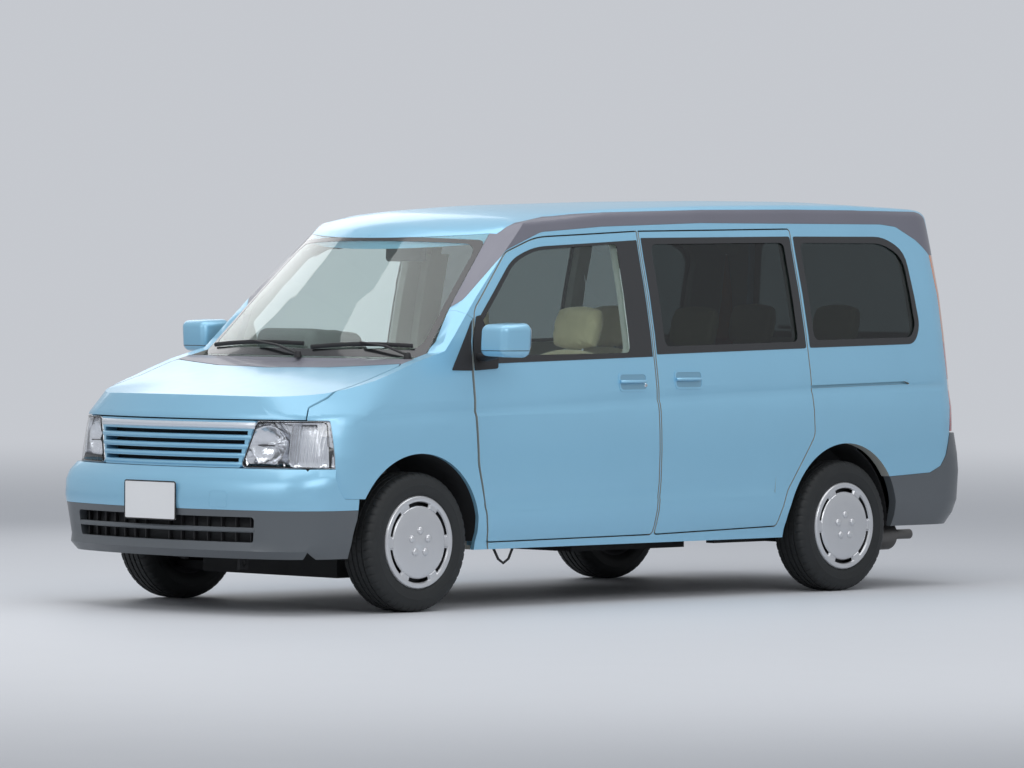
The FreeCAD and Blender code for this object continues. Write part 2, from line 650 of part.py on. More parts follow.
def hollowed(outer, inside_low, inside_high, level):
    """Empties a bumper by one form below a level and by another above it."""
    span = 2 * half_length
    low = inside_low.common(block(-wide, wide, -span, span, 0, level))
    high = inside_high.common(block(-wide, wide, -span, span, level, height))
    return outer.cut(low).cut(high)


plate_back = -half_length + S["plate_thickness"] + seat


def make_front_bumpers():
    outer = bumper_form(front_bumper_shares, 0, True)
    ledge_depth = 0.8 * S["bumper_depth"]
    shell = hollowed(outer, bumper_form(front_bumper_shares, bumper_wall, True),
                     tower(ledge_depth, ledge_depth, 0), 0.325 * height)
    shell = shell.cut(block(-wide, wide, -0.800 * half_length, half_length, 0, height))
    shell = shell.cut(side_prism(seen(fender_shares), -wide, wide, -fixed))
    shell = shell.cut(block(-0.90 * half_width, 0.90 * half_width, -0.90 * half_length, 0, 0, height))
    shell = shell.cut(arch_cut(front_axle, S["arch_radius"], -wide, wide))
    shell = shell.cut(tower(0, -fixed, 0).common(block(-wide, wide, -half_length, 0, 0.3455 * height - fixed, height)))
    split = 0.248 * height
    upper = shell.common(block(-wide, wide, -half_length, 0, split + fixed / 2, 0.3455 * height - fixed))
    lower = shell.common(block(-wide, wide, -half_length, 0, 0, split - fixed / 2))
    intake = [(-0.665, 0.172, 0.008), (0.665, 0.172, 0.008), (0.680, 0.232, 0.008), (-0.680, 0.232, 0.008)]
    lower = lower.cut(front_prism(faced(intake), -half_length, 0))
    plate = block(-S["plate_width"] / 2, S["plate_width"] / 2, -wide - half_length, plate_back,
                  S["plate_centre"] - S["plate_height"] / 2, S["plate_centre"] + S["plate_height"] / 2)
    return solid_of(upper), solid_of(lower), plate


upper, lower, plate = make_front_bumpers()
add_shape("front_bumper", upper.cut(plate))
add_shape("front_bumper_lower", lower.cut(plate))


tail_inner = tower(0, 0, S["tail_wall"])
end_panel_depth = 0.65 * S["tail_wall"]


def make_rear_bumper():
    outer = bumper_form(rear_bumper_shares, 0, False)
    shell = hollowed(outer, bumper_form(rear_bumper_shares, bumper_wall, False),
                     tower(0, 0, end_panel_depth - seat), 0.345 * height)
    shell = shell.cut(block(-wide, wide, 0, rear_axle + S["arch_radius"] * 0.7, 0, height))
    shell = shell.cut(block(-0.90 * half_width, 0.90 * half_width, 0, 0.90 * half_length, 0, height))
    shell = shell.cut(arch_cut(rear_axle, S["arch_radius"], -wide, wide))
    shell = shell.cut(block(-tail_half, tail_half, 0, half_length, 0.360 * height, height))
    return solid_of(shell.cut(side_prism(seen(body_side_shares), -wide, wide, -fixed)))


add_shape("rear_bumper", make_rear_bumper())


def make_tail_lamp():
    outline = seen([(0.882, 0.862, 0.0), (0.890, 0.745, 0.0), (0.888, 0.628, 0.0), (0.892, 0.497, 0.0),
                    (0.886, 0.403, 0.0), (1.0, 0.403, 0.0), (1.0, 0.862, 0.0)])
    zone = side_prism(outline, tail_half + fixed / 2, wide, 0).common(block(0, wide, 0, half_length, 0.401 * height, height))
    return solid_of(cabin_shell.common(zone.cut(side_prism(seen(body_side_shares), -wide, wide, -fixed / 2))))


lamp = make_tail_lamp()
add_shape("tail_lamp_left", lamp)
add_shape("tail_lamp_right", mirrored(lamp))

tailgate_shares = [(0.764, 0.3665, 0.012), (0.764, 0.900, 0.030), (0.680, 0.968, 0.030),
                   (-0.680, 0.968, 0.030), (-0.764, 0.900, 0.030), (-0.764, 0.3665, 0.012)]
tail_window_shares = [(0.690, 0.640, 0.030), (0.640, 0.915, 0.030), (-0.640, 0.915, 0.030), (-0.690, 0.640, 0.030)]
def tailgate_room():
    """The tailgate's space with its gap all round."""
    room = front_prism(faced(tailgate_shares), rear_axle, half_length, -gap)
    return room.cut(tower(0, 0, S["tail_wall"] + gap))


def make_tailgate():
    gate = outer_cabin.cut(tail_inner).common(front_prism(faced(tailgate_shares), rear_axle, half_length))
    return solid_of(gate.cut(front_prism(faced(tail_window_shares), rear_axle, half_length)))


add_shape("tailgate", make_tailgate())


def make_tail_glass():
    layer = tower(thick, thick, S["glass_inset"]).cut(tower(2 * thick, 2 * thick, S["glass_inset"] + thick))
    return solid_of(layer.common(front_prism(faced(tail_window_shares), rear_axle, half_length, seat)))


add_shape("tailgate_glass", make_tail_glass())


def roof_front_zone(forward):
    """The space ahead of the roof's front edge, which is bowed in plan."""
    left = vec(-0.760 * half_width, -0.3270 * half_length - forward, 0)
    middle = vec(0, -0.430 * half_length - forward, 0)
    right = vec(0.760 * half_width, -0.3270 * half_length - forward, 0)
    far_left = vec(-wide, -half_length, 0)
    far_right = vec(wide, -half_length, 0)
    side_left = vec(-wide, left.y, 0)
    side_right = vec(wide, right.y, 0)
    edges = [Part.Arc(left, middle, right).toShape()]
    for a, b in ((right, side_right), (side_right, far_right), (far_right, far_left), (far_left, side_left), (side_left, left)):
        edges.append(Part.LineSegment(a, b).toShape())
    return Part.Face(Part.Wire(edges)).extrude(vec(0, 0, 1.2 * height))


def make_windscreen():
    layer = cabin_form(thick, 0, 0, thick).cut(screen_limit(thick))
    glass = layer.common(front_prism(faced(screen_side_shares), -half_length, 0, seat))
    glass = glass.common(roof_front_zone(fixed))
    glass = glass.common(block(-wide, wide, -half_length, 0, glass_foot, height))
    return solid_of(glass)


add_shape("windscreen", make_windscreen())

roof_side_shares = [
    (0.700, -0.500), (0.700, -0.360), (0.722, -0.330), (0.745, -0.290), (0.764, -0.215), (0.776, -0.080),
    (0.776, 0.690), (0.770, 0.800), (0.762, 0.900), (0.755, 1.000),
]


def make_roof():
    roof = cabin_shell.common(plan_prism(both_sides(roof_side_shares), 0.80 * height, 1.2 * height))
    roof = roof.common(side_prism(seen(garnish_shares), -wide, wide, fixed / 2)).cut(roof_front_zone(0))
    return solid_of(roof.cut(tailgate_room()))


add_shape("roof", make_roof())


def make_garnish():
    band = side_piece(cabin_shell, garnish_shares, fixed / 2)
    roof_zone = plan_prism(both_sides(roof_side_shares), 0.80 * height, 1.2 * height, -fixed)
    band = band.cut(roof_zone.cut(roof_front_zone(fixed)))
    glass_zone = front_prism(faced(screen_side_shares), -half_length, -0.30 * half_length, -seat)
    band = band.cut(tailgate_room())
    return band.cut(glass_zone.common(roof_front_zone(0)))


garnish = make_garnish()
garnish = solid_of(garnish)
add_shape("roof_garnish_left", garnish)
add_shape("roof_garnish_right", mirrored(garnish))


def make_cowl():
    reach = 0.872 * half_width
    zone = block(-reach, reach, -0.75 * half_length, -0.48 * half_length, 0.50 * height, glass_foot - fixed)
    cowl = front_shell.common(zone)
    return solid_of(cowl.cut(plan_prism(both_sides(hood_edge_shares), 0, height, -gap)))


add_shape("cowl", make_cowl())


# Wheels: profiles are turned about the axle

def turned(profile, centre):
    """profile: (radius, place along X) corners; turned about an axle along X."""
    edges = [vec(x, 0, r) for r, x in profile]
    wire = Part.makePolygon(edges + [edges[0]])
    shape = Part.Face(wire).revolve(vec(0, 0, 0), SIDE, 360)
    shape.translate(centre)
    return shape


def make_tyre(centre, way):
    r, w, bead = S["tyre_radius"], S["tyre_width"] / 2, S["rim_radius"]
    profile = [(bead, -0.80 * w), (bead + 0.30 * (r - bead), -w), (bead + 0.66 * (r - bead), -0.98 * w), (r - 0.045 * r, -0.86 * w),
               (r, -0.66 * w), (r, 0.66 * w), (r - 0.045 * r, 0.86 * w), (bead + 0.66 * (r - bead), 0.98 * w),
               (bead + 0.30 * (r - bead), w), (bead, 0.80 * w)]
    return turned(profile, centre)


def make_wheel(centre, way):
    """Pressed steel wheel with its round cover, fused: barrel, disc and the dished cover face."""
    r, w, cover, wall = S["rim_radius"] - seat, S["rim_width"] / 2, S["cover_radius"], S["housing_wall"]
    profile = [
        (r, -0.92 * w), (r, 1.06 * w), (cover, 1.06 * w), (cover, 1.10 * w), (0.90 * cover, 1.13 * w),
        (0.62 * cover, 1.03 * w), (0.30 * cover, 1.15 * w), (0.0, 1.16 * w), (0.0, 0.50 * w),
        (0.42 * r, 0.50 * w), (0.80 * r, 0.58 * w), (r - wall, 0.45 * w), (r - wall, -0.92 * w),
    ]
    return turned([(a, way * b) for a, b in profile], centre)


corners = {
    "front_left": (front_axle, 1), "front_right": (front_axle, -1),
    "rear_left": (rear_axle, 1), "rear_right": (rear_axle, -1),
}
for corner, (axle_y, way) in corners.items():
    centre = vec(way * half_track, axle_y, S["tyre_radius"])
    add_shape(f"tyre_{corner}", make_tyre(centre, way))
    add_shape(f"wheel_{corner}", make_wheel(centre, way))

# Steering knuckles with brake disc and strut, carried on the leaning kingpin line
lean = math.tan(math.radians(S["kingpin_lean"]))
hub_face = half_track + 0.25 * S["rim_width"] - seat


def kingpin_x(z):
    return half_track - S["kingpin_inset"] - (z - S["tyre_radius"]) * lean


strut_top_z = 0.430 * height
spring_low_z = 0.345 * height
ball_z = 0.100 * height


def tube_between(a, b, radius):
    run = b - a
    return Part.makeCylinder(radius, run.Length, a, run)


def make_knuckle():
    z = S["tyre_radius"]
    inner = half_track - 0.32 * S["rim_width"]
    hub = Part.makeCylinder(S["hub_radius"], hub_face - inner, vec(inner, front_axle, z), SIDE)
    disc = Part.makeCylinder(S["disc_radius"], S["disc_thickness"], vec(half_track - 0.3 * S["disc_thickness"], front_axle, z), SIDE)
    low = vec(kingpin_x(ball_z), front_axle, ball_z)
    high = vec(kingpin_x(strut_top_z), front_axle, strut_top_z)
    strut = tube_between(low, high, S["strut_radius"])
    spring_foot = vec(kingpin_x(spring_low_z), front_axle, spring_low_z)
    spring = tube_between(spring_foot, high, S["spring_radius"])
    return hub.fuse([disc, strut, spring])


knuckle = make_knuckle()
add_shape("knuckle_left", knuckle)
add_shape("knuckle_right", mirrored(knuckle))


rail_low = 0.225 * height
rail_high = 0.270 * height
rail_inner = 0.440 * half_width
rail_outer = 0.520 * half_width
arm_top = ball_z - S["strut_radius"] * math.sin(math.radians(S["kingpin_lean"])) - fixed
subframe_top = 0.142 * height


def make_front_subframe():
    """Cross member between the front wheels with a lower arm out to each ball joint."""
    deep = 0.030 * height
    arm_low = arm_top - 0.7 * deep
    beam = block(-rail_outer, rail_outer, front_axle - 2.2 * deep, front_axle + 2.2 * deep, arm_low, subframe_top)
    reach = kingpin_x(ball_z) + S["strut_radius"] / 2
    arm = block(-reach, reach, front_axle - deep / 2, front_axle + deep / 2, arm_low, arm_top)
    post = block(rail_inner, rail_outer, front_axle - deep, front_axle + deep, arm_top, rail_low - seat)
    return beam.fuse([arm, post, mirrored(post)])


add_shape("front_subframe", make_front_subframe())

# Body floor, bulkhead and wheel housings
bulkhead_y = -0.560 * half_length
floor_half = sill_inner - seat


def housing(axle_y, inner_x, skin_inset, bumper_side):
    """A half-round tub over one wheel, open below and outwards, up to the outer panel's inner face."""
    wall = S["housing_wall"]
    radius = S["housing_radius"]
    centre = vec(inner_x, axle_y, S["tyre_radius"])
    tub = Part.makeCylinder(radius + wall, wide - inner_x, centre, SIDE)
    tub = tub.fuse(block(inner_x, wide, axle_y - radius - wall, axle_y + radius + wall, floor_low, centre.z))
    tub = tub.common(tower(skin_inset + seat, skin_inset, skin_inset))
    far_y = axle_y + bumper_side * wide
    tub = tub.cut(block(0.890 * half_width, wide, min(axle_y, far_y), max(axle_y, far_y), 0, 0.362 * height))
    below = block(0, wide, axle_y - 2 * radius, axle_y + 2 * radius, 0, floor_low)
    hollow = Part.makeCylinder(radius, wide, vec(inner_x + wall, axle_y, centre.z), SIDE)
    hollow = hollow.fuse(block(inner_x + wall, wide, axle_y - radius, axle_y + radius, 0, centre.z))
    return tub.cut(below), hollow


def make_floor():
    """Cabin floor with the rear wheel tubs and the end panel under the tailgate."""
    room = wheel_room(front_axle, S["front_housing_inner"] - seat, wide, seat)
    floor = block(-floor_half, floor_half, bulkhead_y, rear_axle, floor_low, floor_high)
    floor = floor.cut(room).cut(mirrored(room))
    boot_half = 0.870 * half_width
    boot = block(-boot_half, boot_half, rear_axle, half_length, floor_low, floor_high)
    panel = block(-tail_half, tail_half, rear_axle, half_length, floor_low, 0.3665 * height - seat)
    end_form = tower(0, 0, end_panel_depth)
    boot = boot.fuse(panel.cut(tail_inner)).common(end_form)
    tub, hollow = housing(rear_axle, S["rear_housing_inner"], S["side_wall"], 1)
    floor = floor.fuse([boot, tub, mirrored(tub)])
    return solid_of(floor.cut(hollow).cut(mirrored(hollow)))


add_shape("floor_pan", make_floor())


def make_tow_eye(cross_y):
    """A drilled lug that hangs from the front rail to just below the bumper."""
    radius = S["tow_eye_radius"]
    eye_z = 0.118 * height
    lug = block(rail_inner, rail_inner + S["tow_eye_width"], cross_y - 2 * radius, cross_y + 2 * radius,
                eye_z - 2 * radius, rail_low + radius)
    hole = Part.makeCylinder(radius, S["tow_eye_width"], vec(rail_inner, cross_y, eye_z), SIDE)
    return lug.cut(hole)


def strut_tower(radius, top_gap):
    """A round turret about the leaning kingpin line, over the top of the strut."""
    high = vec(kingpin_x(strut_top_z), front_axle, strut_top_z)
    low = vec(kingpin_x(spring_low_z), front_axle, spring_low_z)
    run = high - low
    return Part.makeCylinder(radius, run.Length + top_gap, low, run)


def make_front_carrier():
    """Panel close behind the lamps and the grille, and the beam behind the bumper."""
    depth = S["bumper_depth"]
    panel = nose_form(depth + seat, depth + seat, depth + seat).cut(nose_form(1.3 * depth, depth, 1.3 * depth))
    panel = panel.common(block(-0.90 * half_width, 0.90 * half_width, -half_length, -0.845 * half_length,
                               0.255 * height, lamp_top + gap - seat))
    inset = bumper_wall + seat
    beam = bumper_form(front_bumper_shares, inset, True).common(
        block(-0.60 * half_width, 0.60 * half_width, -half_length, cross_y, 0.236 * height, rail_high))
    return panel.fuse(beam)


cross_y = -0.915 * half_length


def make_front_structure():
    """Bulkhead, engine-bay rails and the front wheel housings with their strut turrets."""
    wall = S["housing_wall"]
    panel = block(-pillar_inner + seat, pillar_inner - seat, bulkhead_y - 3 * wall, bulkhead_y - seat, floor_low, 0.580 * height)
    rail = block(rail_inner, rail_outer, cross_y - 2 * wall, bulkhead_y - wall, rail_low, rail_high)
    tub, hollow = housing(front_axle, S["front_housing_inner"], S["fender_wall"], -1)
    room = S["spring_radius"] + wall
    tub = tub.fuse(strut_tower(room + wall, wall + seat))
    hollow = hollow.fuse(strut_tower(room, seat))
    body = panel.fuse([tub, mirrored(tub)]).cut(hollow).cut(mirrored(hollow))
    body = body.cut(side_prism(seen(front_door_shares), -wide, wide, -gap).common(block(-wide, wide, bulkhead_y, 0, 0, height)))
    return solid_of(body.fuse([rail, mirrored(rail), make_front_carrier(), make_tow_eye(cross_y + wall)]))


add_shape("front_structure", make_front_structure())

engine = doc.addObject("Part::Box", "engine_block")
engine.setExpression("Length", "sizes.engine_width")
engine.setExpression("Width", "sizes.engine_length")
engine.setExpression("Height", "sizes.engine_height")
engine.setExpression("Placement.Base.x", "-sizes.engine_width / 2")
engine.setExpression("Placement.Base.y", "-0.784 * sizes.length_overall / 2")
engine.setExpression("Placement.Base.z", "0.142 * sizes.height_overall + sizes.seat_gap")
parts["engine_block"] = engine

tank = doc.addObject("Part::Box", "fuel_tank")
tank.setExpression("Length", "sizes.tank_width")
tank.setExpression("Width", "sizes.tank_length")
tank.setExpression("Height", "sizes.tank_height * 0.5")
tank.setExpression("Placement.Base.x", "-sizes.tank_width / 2")
tank.setExpression("Placement.Base.y", "0")
tank.setExpression("Placement.Base.z", "sizes.floor_height - sizes.tank_height * 0.5 - sizes.seat_gap")
parts["fuel_tank"] = tank


def make_rear_axle():
    z = S["tyre_radius"]
    beam_z = floor_low - S["axle_tube_radius"] - gap
    hub_wide = 0.5 * S["rim_width"]
    beam = Part.makeCylinder(S["axle_tube_radius"], 2 * half_track, vec(-half_track, rear_axle, beam_z), SIDE)
    hub = Part.makeCylinder(S["hub_radius"], hub_wide, vec(hub_face - hub_wide, rear_axle, z), SIDE)
    drum = Part.makeCylinder(0.9 * S["disc_radius"], 0.25 * S["rim_width"], vec(half_track - 0.10 * S["rim_width"], rear_axle, z), SIDE)
    arm_low = beam_z - 0.6 * S["axle_tube_radius"]
    arm = block(0.600 * half_width, 0.660 * half_width, 0.300 * half_length, rear_axle, arm_low, beam_z + 0.6 * S["axle_tube_radius"])
    bracket = block(0.600 * half_width, 0.660 * half_width, 0.300 * half_length, 0.330 * half_length, arm_low, floor_low - seat)
    side = hub.fuse([drum, arm, bracket])
    return beam.fuse([side, mirrored(side)])


add_shape("rear_axle", make_rear_axle())


def make_exhaust():
    z = floor_low - 0.8 * S["muffler_radius"] - seat
    x = 0.45 * half_width
    muffler = Part.makeCylinder(S["muffler_radius"] * 0.8, S["muffler_length"], vec(x, 0.725 * half_length, z), ALONG)
    tail = Part.makeCylinder(S["exhaust_radius"], 0.075 * half_length, vec(x, 0.725 * half_length + S["muffler_length"] - gap, z), ALONG)
    return muffler.fuse(tail)


add_shape("exhaust", make_exhaust())

# Cabin fittings
seat_base = S["cabin_floor"]


def padded_block(x0, x1, y0, y1, z0, z1):
    """A block with all its edges well rounded, for a cushion."""
    form = block(x0, x1, y0, y1, z0, z1)
    return form.makeFillet(0.30 * min(x1 - x0, y1 - y0, z1 - z0), form.Edges)


def make_seats(rows_x, front_y, lean_back):
    """Cushion, back and headrest for each seat of one row, standing on the cabin floor."""
    solids = []
    deep = 0.215 * half_length
    for x, seat_wide in rows_x:
        half = seat_wide / 2
        base = block(x - half * 0.8, x + half * 0.8, front_y + deep * 0.1, front_y + deep * 0.9, floor_high + seat, seat_base + 0.09 * height)
        cushion = padded_block(x - half, x + half, front_y, front_y + deep, seat_base + 0.085 * height, seat_base + 0.085 * height + S["cushion_thickness"])
        back = padded_block(x - half, x + half, 0, S["cushion_thickness"] * 0.9, 0, S["back_height"])
        head = padded_block(x - S["headrest_width"] / 2, x + S["headrest_width"] / 2, 0.02 * height, 0.07 * height,
                            S["back_height"] - 0.012 * height, S["back_height"] + 0.115 * height)
        upright = back.fuse(head)
        upright.rotate(vec(0, 0, 0), SIDE, -lean_back)
        upright.translate(vec(0, front_y + deep * 0.85, seat_base + 0.12 * height))
        solids.append(base.fuse([cushion, upright]))
    return Part.makeCompound(solids)


pair = [(-0.44 * half_width, S["seat_width"]), (0.44 * half_width, S["seat_width"])]
bench = [(0.0, 2.2 * S["seat_width"])]
add_shape("front_seats", make_seats(pair, -0.300 * half_length, 14))
add_shape("middle_seat", make_seats(bench, 0.080 * half_length, 14))
add_shape("rear_seat", make_seats(bench, 0.520 * half_length, 12))


wheel_hub_back = 1.6 * S["steering_rim_tube"]
steering_tilt = 55


def on_steering_line(shape):
    """Turns and moves a shape made about the origin's Z axis onto the steering column's line."""
    shape.rotate(vec(0, 0, 0), SIDE, -steering_tilt)
    shape.translate(vec(-S["steering_offset"], -0.335 * half_length, 0.575 * height))
    return shape


def make_dashboard():
    outline = seen([(-0.560, 0.360, 0.0), (-0.560, 0.585, 0.0), (-0.500, 0.610, 0.020), (-0.400, 0.600, 0.020),
                    (-0.385, 0.520, 0.020), (-0.430, 0.400, 0.010), (-0.440, 0.360, 0.0)])
    half = 0.835 * half_width
    dash = side_prism(outline, -half, half)
    dash = dash.common(cabin_form(S["side_wall"] + 3 * gap, S["roof_wall"], S["side_wall"], S["tail_wall"]))
    room = wheel_room(front_axle, S["front_housing_inner"] - seat, wide, seat)
    shroud_back = wheel_hub_back + seat
    shroud = Part.makeCylinder(2.5 * S["steering_rim_tube"], 12 * S["steering_rim_tube"],
                               vec(0, 0, -shroud_back - 12 * S["steering_rim_tube"]), UP)
    return dash.cut(room).cut(mirrored(room)).fuse(on_steering_line(shroud))


add_shape("dashboard", make_dashboard())


def make_steering_wheel():
    ring = Part.makeTorus(S["steering_rim_radius"], S["steering_rim_tube"], vec(0, 0, 0), UP)
    hub = Part.makeCylinder(0.35 * S["steering_rim_radius"], 2.4 * S["steering_rim_tube"], vec(0, 0, -wheel_hub_back), UP)
    spoke = block(-S["steering_rim_radius"], S["steering_rim_radius"], -S["steering_rim_tube"], S["steering_rim_tube"], -0.6 * S["steering_rim_tube"], 0)
    return on_steering_line(ring.fuse([hub, spoke]))


add_shape("steering_wheel", make_steering_wheel())


def make_mirror():
    head = side_prism([(y * half_length, z * height, r * height) for y, z, r in
                       [(-0.515, 0.606, 0.03), (-0.520, 0.690, 0.03), (-0.440, 0.690, 0.03), (-0.440, 0.608, 0.03)]],
                      1.06 * half_width, 1.27 * half_width)
    stalk = block(0.860 * half_width, 1.08 * half_width, -0.488 * half_length, -0.462 * half_length, 0.615 * height, 0.635 * height)
    rims = [edge for edge in head.Edges if edge.BoundBox.XLength < seat]
    return head.makeFillet(0.014 * height, rims).fuse(stalk)


mirror = make_mirror()
mirror = mirror.cut(tower(-seat, 0, 0))
add_shape("mirror_left", solid_of(mirror))
add_shape("mirror_right", mirrored(solid_of(mirror)))

plate = doc.addObject("Part::Box", "front_plate")
plate.setExpression("Length", "sizes.plate_width - 2 * sizes.seat_gap")
plate.setExpression("Width", "sizes.plate_thickness")
plate.setExpression("Height", "sizes.plate_height - 2 * sizes.seat_gap")
plate.setExpression("Placement.Base.x", "-sizes.plate_width / 2 + sizes.seat_gap")
plate.setExpression("Placement.Base.y", "-sizes.length_overall / 2")
plate.setExpression("Placement.Base.z", "sizes.plate_centre - sizes.plate_height / 2 + sizes.seat_gap")
parts["front_plate"] = plate

doc.recompute()
for entry in doc.Objects:
    if "Invalid" in entry.State or "Error" in entry.State:
        raise RuntimeError(f"{entry.Label} did not build")
for label, feature in parts.items():
    if feature.Shape.isNull() or not feature.Shape.isValid():
        raise RuntimeError(f"{label} is not a valid solid")
    b = feature.Shape.optimalBoundingBox()
    print(label, len(feature.Shape.Solids), round(feature.Shape.Volume / 1e6, 2), [round(x) for x in (b.XMin, b.XMax, b.YMin, b.YMax, b.ZMin, b.ZMax)])
os.makedirs("parts", exist_ok=True)
for label, feature in parts.items():
    feature.Shape.exportStep(f"parts/{label}.step")
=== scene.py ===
import math

import bpy
import bmesh
from mathutils import Matrix, Vector
from mathutils.bvhtree import BVHTree


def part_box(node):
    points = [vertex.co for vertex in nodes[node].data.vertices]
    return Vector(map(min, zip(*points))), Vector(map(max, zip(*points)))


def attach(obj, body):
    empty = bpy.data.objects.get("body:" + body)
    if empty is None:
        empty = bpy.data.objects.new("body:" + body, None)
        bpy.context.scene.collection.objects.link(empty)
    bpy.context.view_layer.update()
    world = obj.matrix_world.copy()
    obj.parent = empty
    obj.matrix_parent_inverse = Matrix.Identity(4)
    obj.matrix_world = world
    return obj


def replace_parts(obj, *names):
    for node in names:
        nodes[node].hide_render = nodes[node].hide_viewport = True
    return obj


# A light blue family van on a studio floor. Metres, nose to -Y, the vehicle's left is +X, Z up.

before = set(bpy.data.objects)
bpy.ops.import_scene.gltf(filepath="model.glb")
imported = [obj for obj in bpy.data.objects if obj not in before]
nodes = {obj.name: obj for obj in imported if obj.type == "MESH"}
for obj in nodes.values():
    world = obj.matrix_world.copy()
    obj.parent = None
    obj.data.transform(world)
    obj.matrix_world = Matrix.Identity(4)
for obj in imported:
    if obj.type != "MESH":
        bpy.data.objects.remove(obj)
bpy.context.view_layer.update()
sides = (("left", 1), ("right", -1))
print("frame loaded:", len(nodes), "nodes")


# materials

def setSockets(node, values):
    for key, value in values.items():
        node.inputs[key].default_value = value


def addNode(tree, kind, values=None, **traits):
    node = tree.nodes.new(kind)
    for key, value in traits.items():
        setattr(node, key, value)
    setSockets(node, values or {})
    return node


def wire(tree, start, outName, end, inName):
    tree.links.new(start.outputs[outName], end.inputs[inName])


def noiseNode(tree, coords, scale, detail=3.0):
    noise = addNode(tree, "ShaderNodeTexNoise", {"Scale": scale, "Detail": detail})
    wire(tree, coords, "Object", noise, "Vector")
    return noise


def rangeNode(tree, source, outName, low, high):
    spread = addNode(tree, "ShaderNodeMapRange", {"To Min": low, "To Max": high})
    wire(tree, source, outName, spread, "Value")
    return spread


def splitNode(tree, coords, outName):
    split = addNode(tree, "ShaderNodeSeparateXYZ")
    wire(tree, coords, outName, split, "Vector")
    return split


def mixColours(tree, factor, outName, first, second):
    mix = addNode(tree, "ShaderNodeMix", data_type="RGBA")
    wire(tree, factor, outName, mix, "Factor")
    for socket, colour in ((6, first), (7, second)):
        if isinstance(colour, bpy.types.NodeSocket):
            tree.links.new(colour, mix.inputs[socket])
        else:
            mix.inputs[socket].default_value = (*colour, 1)
    return mix.outputs[2]


def mixSurface(tree, factor, outName, first, second, target):
    # shows the first shader where the factor is 0 and the second where it is 1
    mix = addNode(tree, "ShaderNodeMixShader")
    wire(tree, factor, outName, mix, "Fac")
    wire(tree, first, 0, mix, 1)
    wire(tree, second, 0, mix, 2)
    wire(tree, mix, 0, tree.nodes[target], "Surface")


def shaded(colour, share):
    return tuple(min(1.0, max(0.0, c * share)) for c in colour)


def newMaterial(name, values):
    mat = bpy.data.materials.new(name)
    mat.use_nodes = True
    tree = mat.node_tree
    shader = tree.nodes["Principled BSDF"]
    setSockets(shader, values)
    return mat, tree, shader, addNode(tree, "ShaderNodeTexCoord")


def bandColours(tree, coords, bands, top=2.0):
    # flat tones that change at given heights
    ramp = addNode(tree, "ShaderNodeValToRGB")
    ramp.color_ramp.interpolation = "CONSTANT"
    level = addNode(tree, "ShaderNodeMapRange", {"From Max": top})
    wire(tree, splitNode(tree, coords, "Object"), "Z", level, "Value")
    wire(tree, level, "Result", ramp, "Fac")
    for i, (height, tone) in enumerate(bands):
        spot = ramp.color_ramp.elements[i] if i < 2 else ramp.color_ramp.elements.new(height / top)
        spot.position = height / top
        spot.color = (*tone, 1)
    return ramp.outputs["Color"]


def linedInside(tree, coords, shader, colourOut, lining, metal, coat):
    # the inner face of a body panel shows its lining, not the paint
    axis = lining["axis"]
    facing = addNode(tree, "ShaderNodeMath", {1: 1.0}, operation="MULTIPLY")
    wire(tree, splitNode(tree, coords, "Normal"), axis, facing, 0)
    if axis != "Z":
        wire(tree, splitNode(tree, coords, "Object"), axis, facing, 1)
    inward = addNode(tree, "ShaderNodeMath", {1: lining.get("level", -0.15)}, operation="LESS_THAN")
    wire(tree, facing, "Value", inward, 0)
    for socket, value in (("Metallic", metal), ("Coat Weight", coat)):
        wire(tree, rangeNode(tree, inward, "Value", value, 0.0), "Result", shader, socket)
    return mixColours(tree, inward, "Value", colourOut, lining["colour"])


def finish(name, colour, rough, metal=0.0, coat=0.0, spread=0.06, broad=3.0, grain=350.0, bump=0.02,
           roughSpread=0.08, lining=None, bands=None, sheen=0.0, coatRough=0.04):
    mat, tree, shader, coords = newMaterial(name, {
        "Metallic": metal, "Coat Weight": coat, "Coat Roughness": coatRough, "Sheen Weight": sheen})
    if bands:
        colourOut = bandColours(tree, coords, bands)
    else:
        tones = shaded(colour, 1 - spread), shaded(colour, 1 + spread)
        colourOut = mixColours(tree, noiseNode(tree, coords, broad), "Fac", *tones)
    if lining:
        colourOut = linedInside(tree, coords, shader, colourOut, lining, metal, coat)
    tree.links.new(colourOut, shader.inputs["Base Color"])
    limits = rough - roughSpread / 2, rough + roughSpread / 2
    roughness = rangeNode(tree, noiseNode(tree, coords, broad * 6), "Fac", *limits)
    wire(tree, roughness, "Result", shader, "Roughness")
    relief = addNode(tree, "ShaderNodeBump", {"Strength": bump, "Distance": 0.002})
    wire(tree, noiseNode(tree, coords, grain, 2.0), "Fac", relief, "Height")
    wire(tree, relief, "Normal", shader, "Normal")
    return mat


def glassFinish(name, tint, lampTint):
    # lamps shine through the pane, so that what is behind it is lit
    mat, tree, shader, coords = newMaterial(name, {"Transmission Weight": 1.0, "IOR": 1.45})
    cloud = noiseNode(tree, coords, 1.5)
    colourOut = mixColours(tree, cloud, "Fac", shaded(tint, 0.97), shaded(tint, 1.03))
    tree.links.new(colourOut, shader.inputs["Base Color"])
    wire(tree, rangeNode(tree, cloud, "Fac", 0.0, 0.01), "Result", shader, "Roughness")
    clear = addNode(tree, "ShaderNodeBsdfTransparent", {"Color": (*lampTint, 1)})
    mixSurface(tree, addNode(tree, "ShaderNodeLightPath"), "Is Shadow Ray", shader, clear, "Material Output")
    return mat


def panelPaint(name, lining=None):
    return finish(name, paintTone, 0.34, metal=0.35, coat=0.55, coatRough=0.12, spread=0.03, grain=900.0,
                  bump=0.006, lining=lining)


